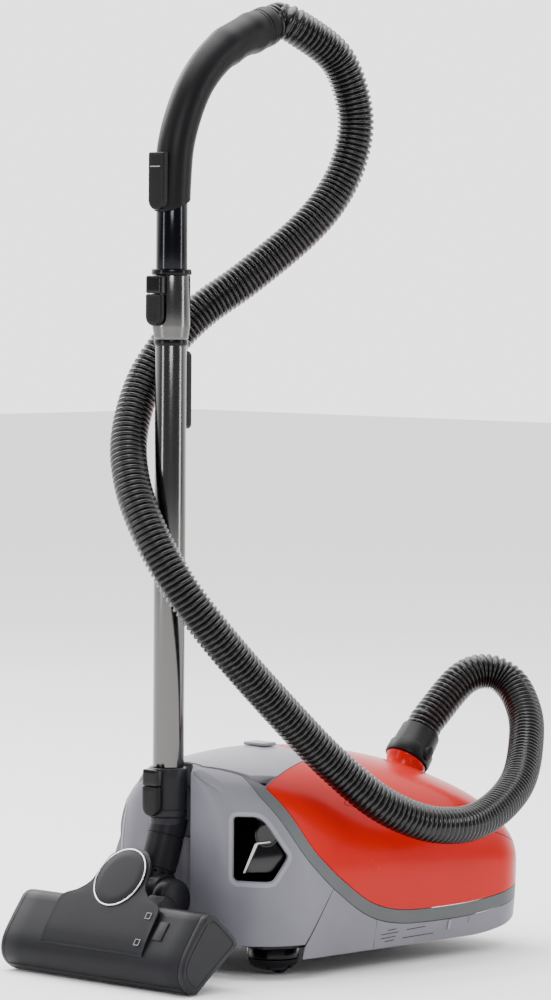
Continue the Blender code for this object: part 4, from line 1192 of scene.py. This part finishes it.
# %% Head frame and helpers
HEAD_TILT = math.radians(37.3)
HEAD_OUTLINE = [(0.004, 0.000), (0.083, 0.000), (0.087, 0.004), (0.080, 0.046), (0.072, 0.058),
                (0.064, 0.060),
                (0.030, 0.050), (0.010, 0.042), (-0.001, 0.031), (-0.004, 0.018), (-0.001, 0.006)]
turn = Matrix.Rotation(-HEAD_TILT, 4, 'Y')
spots = [turn @ Vector((x, 0.0, z)) for x, z in HEAD_OUTLINE]
HEAD = Matrix.Translation((-0.297 - min(p.x for p in spots), 0.0, -min(p.z for p in spots))) @ turn


def in_head(bm):
    bm.transform(HEAD)
    return bm


def rounded_head(margin=0.0):
    """Sole and rear stay crisp; the front and top turn into one roll."""
    roll = smooth_curve([(a, b, 0) for a,
                         b in [(0.064, 0.060), (0.030, 0.0500), (0.010, 0.042), (-0.001, 0.031),
                                                 (-0.004, 0.018), (-0.001, 0.006), (0.004, 0.000)]], 6)
    outline = [(0.083, 0.0), (0.0860, 0.0012), (0.087, 0.004), (0.0868, 0.010), (0.0830, 0.030),
               (0.080, 0.046),
               (0.0778, 0.0525), (0.0745, 0.0570), (0.0700, 0.0594)] + [(p.x, max(0.0, p.y)) for p in roll]
    return inset(outline, margin) if margin else outline


def head_body(half, soft=0.0035, margin=0.0):
    """Roll between two ends that close over a soft edge."""
    bm = bmesh.new()
    rows = []
    stations = [(-half, soft), (-half + soft * 0.3, soft * 0.3), (-half + soft, 0.0)]
    stations += [(-half + soft + (2 * half - 2 * soft) * k / 12, 0.0) for k in range(1, 12)]
    stations += [(half - soft, 0.0), (half - soft * 0.3, soft * 0.3), (half, soft)]
    for y, inward in stations:
        rows.append([bm.verts.new((a, y, b)) for a, b in rounded_head(margin + inward + 1e-6)])
    count = len(rows[0])
    for first, second in zip(rows, rows[1:]):
        for i in range(count):
            j = (i + 1) % count
            bm.faces.new((first[i], first[j], second[j], second[i]))
    bm.faces.new(rows[0])
    bm.faces.new(rows[-1])
    bmesh.ops.recalc_face_normals(bm, faces=bm.faces)
    return bm


# %% Housing, end caps and bumper
work = scratch_object(head_body(0.1370, 0.0012), "head_work")
hollow = scratch_object(slab([(0.012, -0.01), (0.075, -0.01), (0.076, 0.030), (0.064, 0.046), (0.032, 0.042),
                              (0.008, 0.030)], -0.133, 0.133, along_y), "head_hollow")
yoke = scratch_object(slab([(0.070, 0.012), (0.100, 0.012), (0.105, 0.020), (0.105, 0.040), (0.098, 0.048),
                            (0.070, 0.048)], -0.050, 0.050, along_y, 0.002), "yoke")
room = scratch_object(slab([(0.090, 0.0), (0.2, 0.0), (0.2, 0.07), (0.090, 0.07)], -0.026, 0.026, along_y),
                      "room")
cut(work, hollow)
cut(work, yoke, 'UNION')
cut(work, room)
finished(in_head(baked(work)), "head_shell", head_black, "floor_head", ["head_housing"],
         angle=40)
for side, sign in (("right", -1), ("left", 1)):
    bm = bmesh.new()
    rows = []
    for inward, y in ((0.0004, 0.1373), (0.0004, 0.1405), (0.0012, 0.1432), (0.0032, 0.1447),
                      (0.0070, 0.1450),
                      (0.0074, 0.1444), (0.0082, 0.1444), (0.0086, 0.1450), (0.0150, 0.1452)):
        rows.append([bm.verts.new((a, sign * y, b)) for a, b in shrunk(rounded_head(), inward)])
    count = len(rows[0])
    for first, second in zip(rows, rows[1:]):
        for i in range(count):
            j = (i + 1) % count
            bm.faces.new((first[i], first[j], second[j], second[i]))
    bm.faces.new(rows[0])
    bm.faces.new(rows[-1])
    bmesh.ops.recalc_face_normals(bm, faces=bm.faces)
    finished(in_head(bm), "head_end_" + side, head_light, "floor_head", ["head_cap_" + side],
             angle=35)
bumper = [(-0.0046, 0.0165), (-0.0016, 0.0058), (0.0038, 0.0003), (0.0110, 0.0003), (0.0110, 0.0012),
          (0.0046, 0.0016), (-0.0004, 0.0066), (-0.0034, 0.0165)]
finished(in_head(slab(bumper, -0.1362, 0.1362, along_y, 0.0003, 2)), "front_bumper", tray_black, "floor_head")


# %% Cover plate with its tongue
def table(points, x):
    return between(points, x)


COVER_TOP = smooth_line([(0.010, 0.0445), (0.016, 0.0480), (0.030, 0.0545), (0.060, 0.0650), (0.095, 0.0762),
                         (0.120, 0.0842), (0.128, 0.0850), (0.131, 0.0835)], 4)
COVER_HALF = smooth_line([(0.010, 0.0800), (0.030, 0.0800), (0.056, 0.0790), (0.0665, 0.0740),
                          (0.0740, 0.0560),
                          (0.0850, 0.0430), (0.1000, 0.0385), (0.1150, 0.0330), (0.1250, 0.0225),
                          (0.1305, 0.0090), (0.1312, 0.0020)], 6)


def cover_plate():
    bm = bmesh.new()
    rows = []
    for k in range(91):
        x = 0.0105 + (0.1310 - 0.0105) * (1 - (1 - k / 90) ** 1.0)
        half = table(COVER_HALF, x)
        top = table(COVER_TOP, x)
        thick = 0.0028 if x < 0.066 else 0.0028 + 0.0012 * min(1.0, (x - 0.066) / 0.01)
        edge = 0.0012 if x > 0.0118 else 0.0020
        soft = 0.0014
        row = []
        samples = 24
        for i in range(samples + 1):
            y = -half + soft + (2 * half - 2 * soft) * i / samples
            row.append((x, y, top - 0.0006 * (abs(y) / max(half, 1e-6)) ** 4 - (edge - 0.0012)))
        upper = [(x, -half, top - soft - 0.0004), (x, -half + soft * 0.3, top - soft * 0.35)]
        close = [(x, half - soft * 0.3, top - soft * 0.35), (x, half, top - soft - 0.0004)]
        lower = [(x, half, top - thick), (x, -half, top - thick)]
        rows.append([bm.verts.new(p) for p in upper + row + close + lower])
    count = len(rows[0])
    for first, second in zip(rows, rows[1:]):
        for i in range(count):
            j = (i + 1) % count
            bm.faces.new((first[i], first[j], second[j], second[i]))
    bm.faces.new(rows[0])
    bm.faces.new(rows[-1])
    bmesh.ops.recalc_face_normals(bm, faces=bm.faces)
    return bm


finished(in_head(cover_plate()), "cover_plate", head_black, "floor_head", ["head_cover"],
         angle=40)
slope = math.atan2(0.0204, 0.060)
normal = Vector((-math.sin(slope), 0.0, math.cos(slope)))
seat = Vector((0.092, 0.0, 0.0755)) + normal * 0.0008
ring = [(0.0341 + 0.0009 * (1 + math.cos(a)), 0.0004 + 0.0008 * math.sin(a))
        for a in [2 * math.pi * k / 16 for k in range(16)]]
finished(in_head(turned(ring, seat, normal, steps=128)), "medallion_ring", ring_silver, "floor_head",
         ["cover_ring"])
disc = [(0.0, -0.0010), (0.0338, -0.0010), (0.0340, 0.0002), (0.0330, 0.0007), (0.0240, 0.0010),
        (0.0, 0.0012)]
finished(in_head(turned(disc, seat, normal, steps=96)), "medallion_blank", head_black, "floor_head",
         ["cover_badge"])

# %% [markdown]
# A hinge ear stands on each side of the elbow's foot and covers the end of its pivot. It
# is a plain barrel, so a turned profile gives its rounded rims in one step, where a
# cylinder would need its edges bevelled. The slider opens the bypass, two square marks
# lie on the cover, and two rows of short tufts stand under the head.

# %% Hinge ears, slider, marks and bristles
for side, sign in (("right", -1), ("left", 1)):
    ear = [(0.0, 0.0255), (0.0215, 0.0255), (0.0238, 0.0275), (0.0244, 0.0320), (0.0244, 0.0385),
           (0.0232, 0.0415),
           (0.0205, 0.0430), (0.0, 0.0437)]
    finished(in_head(turned(ear, (0.1120, 0.0, 0.0275), (0, sign, 0), steps=96)), "hinge_ear_" + side,
             head_black, "floor_head", angle=45)
low_y, high_y = -0.0980, -0.0840
slide_plate = slab([(0.030, 0.0490), (0.052, 0.0556), (0.052, 0.0580), (0.030, 0.0514)], low_y, high_y,
                   along_y,
                   0.0006)
finished(in_head(slide_plate), "bypass_slider", head_light, "slider", ["head_slider"])
for x, z in ((0.0225, 0.0519), (0.0530, 0.0630)):
    bm = bmesh.new()
    outline = [(-0.0038, -0.0038), (0.0038, -0.0038), (0.0038, 0.0038), (-0.0038, 0.0038)]
    rows = [[bm.verts.new((a, b, h)) for a, b in inset(outline, d)]
            for d, h in ((0.0, 0.0), (0.0, 0.0004), (0.0007, 0.0004), (0.0007, 0.0))]
    for first, second in zip(rows, rows[1:] + rows[:1]):
        for i in range(4):
            bm.faces.new((first[i], first[(i + 1) % 4], second[(i + 1) % 4], second[i]))
    bmesh.ops.recalc_face_normals(bm, faces=bm.faces)
    bm.transform(Matrix.Translation((x, -0.0680, z)) @ turn_to(normal, (0, 0, 0)))
    finished(in_head(bm), "square_mark_%d" % round(x * 1000), housing_light, "floor_head")
tufts = bmesh.new()
for k in range(46):
    y = -0.1290 + 0.2580 * k / 45
    for x in (0.0775, 0.0815):
        one = bmesh.new()
        bmesh.ops.create_cone(one, segments=8, radius1=0.0017, radius2=0.0022, depth=0.0060, cap_ends=True)
        one.transform(Matrix.Translation((x, y + (0.0014 if x > 0.08 else 0.0), -0.0026)))
        data = bpy.data.meshes.new("tuft")
        one.to_mesh(data)
        one.free()
        tufts.from_mesh(data)
        bpy.data.meshes.remove(data)
finished(in_head(tufts), "rear_bristles", bristle_black, "floor_head")
low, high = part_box("brush_roller")
centre = (low + high) / 2
roller = bmesh.new()
for k in range(5):
    start = 2 * math.pi * k / 5
    rail = []
    for i in range(61):
        y = -0.118 + 0.236 * i / 60
        a = start + 2.4 * abs(y) / 0.118
        rail.append((y, a))
    rows = []
    for y, a in rail:
        spread = 0.13
        rows.append([roller.verts.new((r * math.cos(a + s), y, r * math.sin(a + s)))
                     for r, s in ((0.0080, -spread * 1.6), (0.0152, -spread), (0.0152, spread),
                                  (0.0080, spread * 1.6))])
    for first, second in zip(rows, rows[1:]):
        for i in range(4):
            j = (i + 1) % 4
            roller.faces.new((first[i], first[j], second[j], second[i]))
    roller.faces.new(rows[0])
    roller.faces.new(rows[-1])
bmesh.ops.recalc_face_normals(roller, faces=roller.faces)
roller.transform(Matrix.Translation(centre) @ Matrix.Rotation(-HEAD_TILT, 4, 'Y'))
finished(roller, "roller_bristle_rows", bristle_black, "brush", angle=40)
core = turned([(0.0031, -0.120), (0.0090, -0.120), (0.0098, -0.119), (0.0098, 0.119), (0.0090, 0.120),
               (0.0031, 0.120)], centre, (0, 1, 0), steps=48)
finished(core, "roller_core", gloss_black, "brush", ["brush_roller"])

# %% [markdown]
# ## Elbow
# The elbow leans from the head's hinge up to the collar. Two seam grooves and a slotted
# ring at its foot are what make it read as turning parts.

# %% Elbow
pivot = HEAD @ Vector((0.118, 0.0, 0.0295))
top_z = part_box("neck_collar")[0][2]
lean = Vector((WAND_X - pivot.x, 0.0, top_z - 0.012 - pivot.z))
axis = lean.normalized()
span = lean.length
tube_line = [(0.0, 0.0), (0.0205, 0.0), (0.0205, 0.0245), (0.0194, 0.0250), (0.0194, 0.0268),
             (0.0207, 0.0274),
             (0.0210, 0.0400), (0.0209, span - 0.012), (0.0198, span - 0.0115), (0.0198, span - 0.0102),
             (0.0208, span - 0.0098), (0.0206, span + 0.012), (0.0, span + 0.012)]
work = scratch_object(turned(tube_line, pivot, axis, steps=96), "elbow_work")
barrel = scratch_object(turned([(0.0, -0.0245), (0.0215, -0.0245), (0.0225, -0.0235), (0.0225, 0.0235),
                                (0.0215, 0.0245), (0.0, 0.0245)], pivot, (0, 1, 0), steps=96), "barrel")
above = scratch_object(rounded_box((WAND_X - 0.05, -0.05, top_z - GAP), (WAND_X + 0.05, 0.05, 0.30), 0.001,
                                   1), "above")
cut(work, barrel, 'UNION')
cut(work, above)
side = Vector((0, 1, 0))
other = axis.cross(side)
for k in range(14):
    a = 2 * math.pi * k / 14
    spot = pivot + axis * 0.0225 + (side * math.cos(a) + other * math.sin(a)) * 0.0205
    tooth = scratch_object(rounded_box((-0.0022, -0.0016, -0.0015), (0.0022, 0.0016, 0.0015), 0.0004, 1),
                           "slot")
    tooth.data.transform(turn_to(axis, spot))
    cut(work, tooth)
finished(baked(work), "elbow_shell", head_black, "neck", ["swivel_elbow"], angle=40)
sleeve = turned([(0.0165, -0.0115), (0.0198, -0.0115), (0.0203, -0.0108), (0.0203, -0.0005),
                 (0.0165, -0.0005)],
                (WAND_X, 0, top_z), (0, 0, 1), steps=96)
finished(sleeve, "elbow_top_sleeve", head_light, "neck")
print("head and elbow made")

# %% [markdown]
# ## Skirt details
# The skirt carries a vertical shut line, a few shallow vents and one raised rib. The vents are
# thin dark plates whose colour is painted shade, the shade inside the vent slots.

# %% Skirt ribs and vents
def skirt_point(dx, z, side=-1):
    x = WAND_X + dx
    rise_x = max(0.0, x - (WAND_X + 0.350)) / (NOSE_X - (WAND_X + 0.350))
    bottom = 0.022 + 0.025 * rise_x ** 2
    t = min(1.0, max(0.0, (z - bottom) / (SHOULDER_Z - bottom)))
    return Vector((x, side * half_width(x, 0.0) * (1 - 0.03 * (1 - t) ** 2), z))


def skirt_bar(outline, lift, name, finish, sides=(-1, 1)):
    """Thin plate that lies on the skirt, with its outline given along the side."""
    for side_sign in sides:
        bm = bmesh.new()
        rows = []
        for inward, up in ((0.0, -0.0006), (0.0, lift * 0.6), (0.0004, lift)):
            row = []
            for dx, z in inset(outline, inward):
                place = skirt_point(dx, z, side_sign)
                row.append(bm.verts.new(place + Vector((0, side_sign * up, 0))))
            rows.append(row)
        count = len(rows[0])
        for first, second in zip(rows, rows[1:]):
            for i in range(count):
                j = (i + 1) % count
                bm.faces.new((first[i], first[j], second[j], second[i]))
        bm.faces.new(rows[0])
        bm.faces.new(rows[-1])
        bmesh.ops.recalc_face_normals(bm, faces=bm.faces)
        finished(bm, name + ("_right" if side_sign < 0 else "_left"), finish, "canister",
                 angle=30)


skirt_bar([(0.1895, 0.0235), (0.1901, 0.0235), (0.1931, 0.0560), (0.1925, 0.0560)], 0.0002, "skirt_shut_line",
          tray_black)
skirt_bar([(0.3120, 0.0330), (0.3165, 0.0335), (0.3190, 0.0445), (0.3145, 0.0440)], 0.0014, "skirt_rib",
          housing_light)
skirt_bar([(0.3480, 0.0370), (0.3486, 0.0370), (0.3506, 0.0455), (0.3500, 0.0455)], 0.0002, "skirt_rear_line",
          tray_black)
# Vents: thin dark plates on the skirt, their dark colour painted shade standing in for the shade inside the
# slots.
for row, (a, b, z) in enumerate(((0.2010, 0.2300, 0.0370), (0.2120, 0.2260, 0.0410), (0.2010, 0.2260, 0.0325),
                                 (0.2080, 0.2240, 0.0285), (0.2440, 0.2750, 0.0390), (0.2380, 0.2900,
                                                                                      0.0300))):
    skirt_bar([(a, z), (b, z + 0.0008), (b, z + 0.0018), (a, z + 0.0010)], 0.00018, "skirt_vent_shade_%d" % row,
              tray_black)

# %% [markdown]
# ## Ventilation holes
# Small dark discs laid on the skin read as holes from a normal distance; their dark colour is
# painted shade, the shade inside each hole, and they cost far fewer faces than cutting ninety real ones.

# %% Ventilation holes in the lid
def painted_hole_shade():
    """Small dark discs laid on the lid in a diagonal pattern, just ahead of the handle: painted shade for the
    holes.
    """
    tree = BVHTree.FromObject(outer_skin, bpy.context.evaluated_depsgraph_get())
    bm = bmesh.new()
    for row in range(6):
        for column in range(-7, 8):
            x = WAND_X + 0.1745 + row * 0.0068
            y = column * 0.0082 + (0.0041 if row % 2 else 0.0)
            hit, normal, _, _ = tree.ray_cast(Vector((x, y, 0.5)), Vector((0, 0, -1)))
            if hit is None:
                continue
            disc = bmesh.ops.create_cone(bm, cap_ends=True, segments=12, radius1=0.0017, radius2=0.0014,
                                         depth=0.0004)
            bmesh.ops.transform(bm, matrix=turn_to(normal, hit), verts=disc["verts"])
    return bm


finished(painted_hole_shade(), "painted_hole_shade", tray_black, "lid")
print("lid holes", 6 * 15)

for obj in scratch:
    bpy.data.objects.remove(obj)

# %% Every other solid keeps its shape and gets its finish
plain = {
    "hood_lid": hood_red, "bonnet": hood_red, "trim_band": band_grey, "rear_housing": housing_grey,
    "chassis_skirt": housing_grey, "carry_handle": housing_grey, "lid_latch": housing_grey,
    "power_pedal": housing_grey, "rewind_pedal": housing_grey, "handle_tray": tray_black,
    "base_tray": tray_black, "inner_tube": drawn_steel, "outer_tube": drawn_steel, "wand_socket": drawn_steel,
    "tail_tube": smoked_chrome, "cover_ring": drawn_steel, "motor": drawn_steel, "suction_fan": drawn_steel,
    "reel_spindle": drawn_steel, "brush_axle": drawn_steel, "turbine_shaft": drawn_steel,
    "dust_container": smoke_clear, "container_cap_left": smoke_clear, "container_cap_right": smoke_clear,
    "motor_filter": filter_felt, "circuit_board": board_green, "cyclone_core": gloss_black,
    "socket_ring": gloss_black, "socket_seal": gloss_black, "socket_guard": gloss_black,
    "collar_guard": gloss_black, "head_slider": gloss_black, "brush_roller": tread_rubber,
    "castor_wheel_front": tread_rubber, "castor_wheel_rear_left": tread_rubber,
    "castor_wheel_rear_right": tread_rubber, "grip_handle": grip_black, "air_valve": grip_black,
    "hose_collar": grip_black, "hose_cuff": grip_black,
}
for name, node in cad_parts.items():
    node.data.materials.clear()
    node.data.materials.append(plain.get(name, head_black))
print("solids finished:", len(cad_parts))
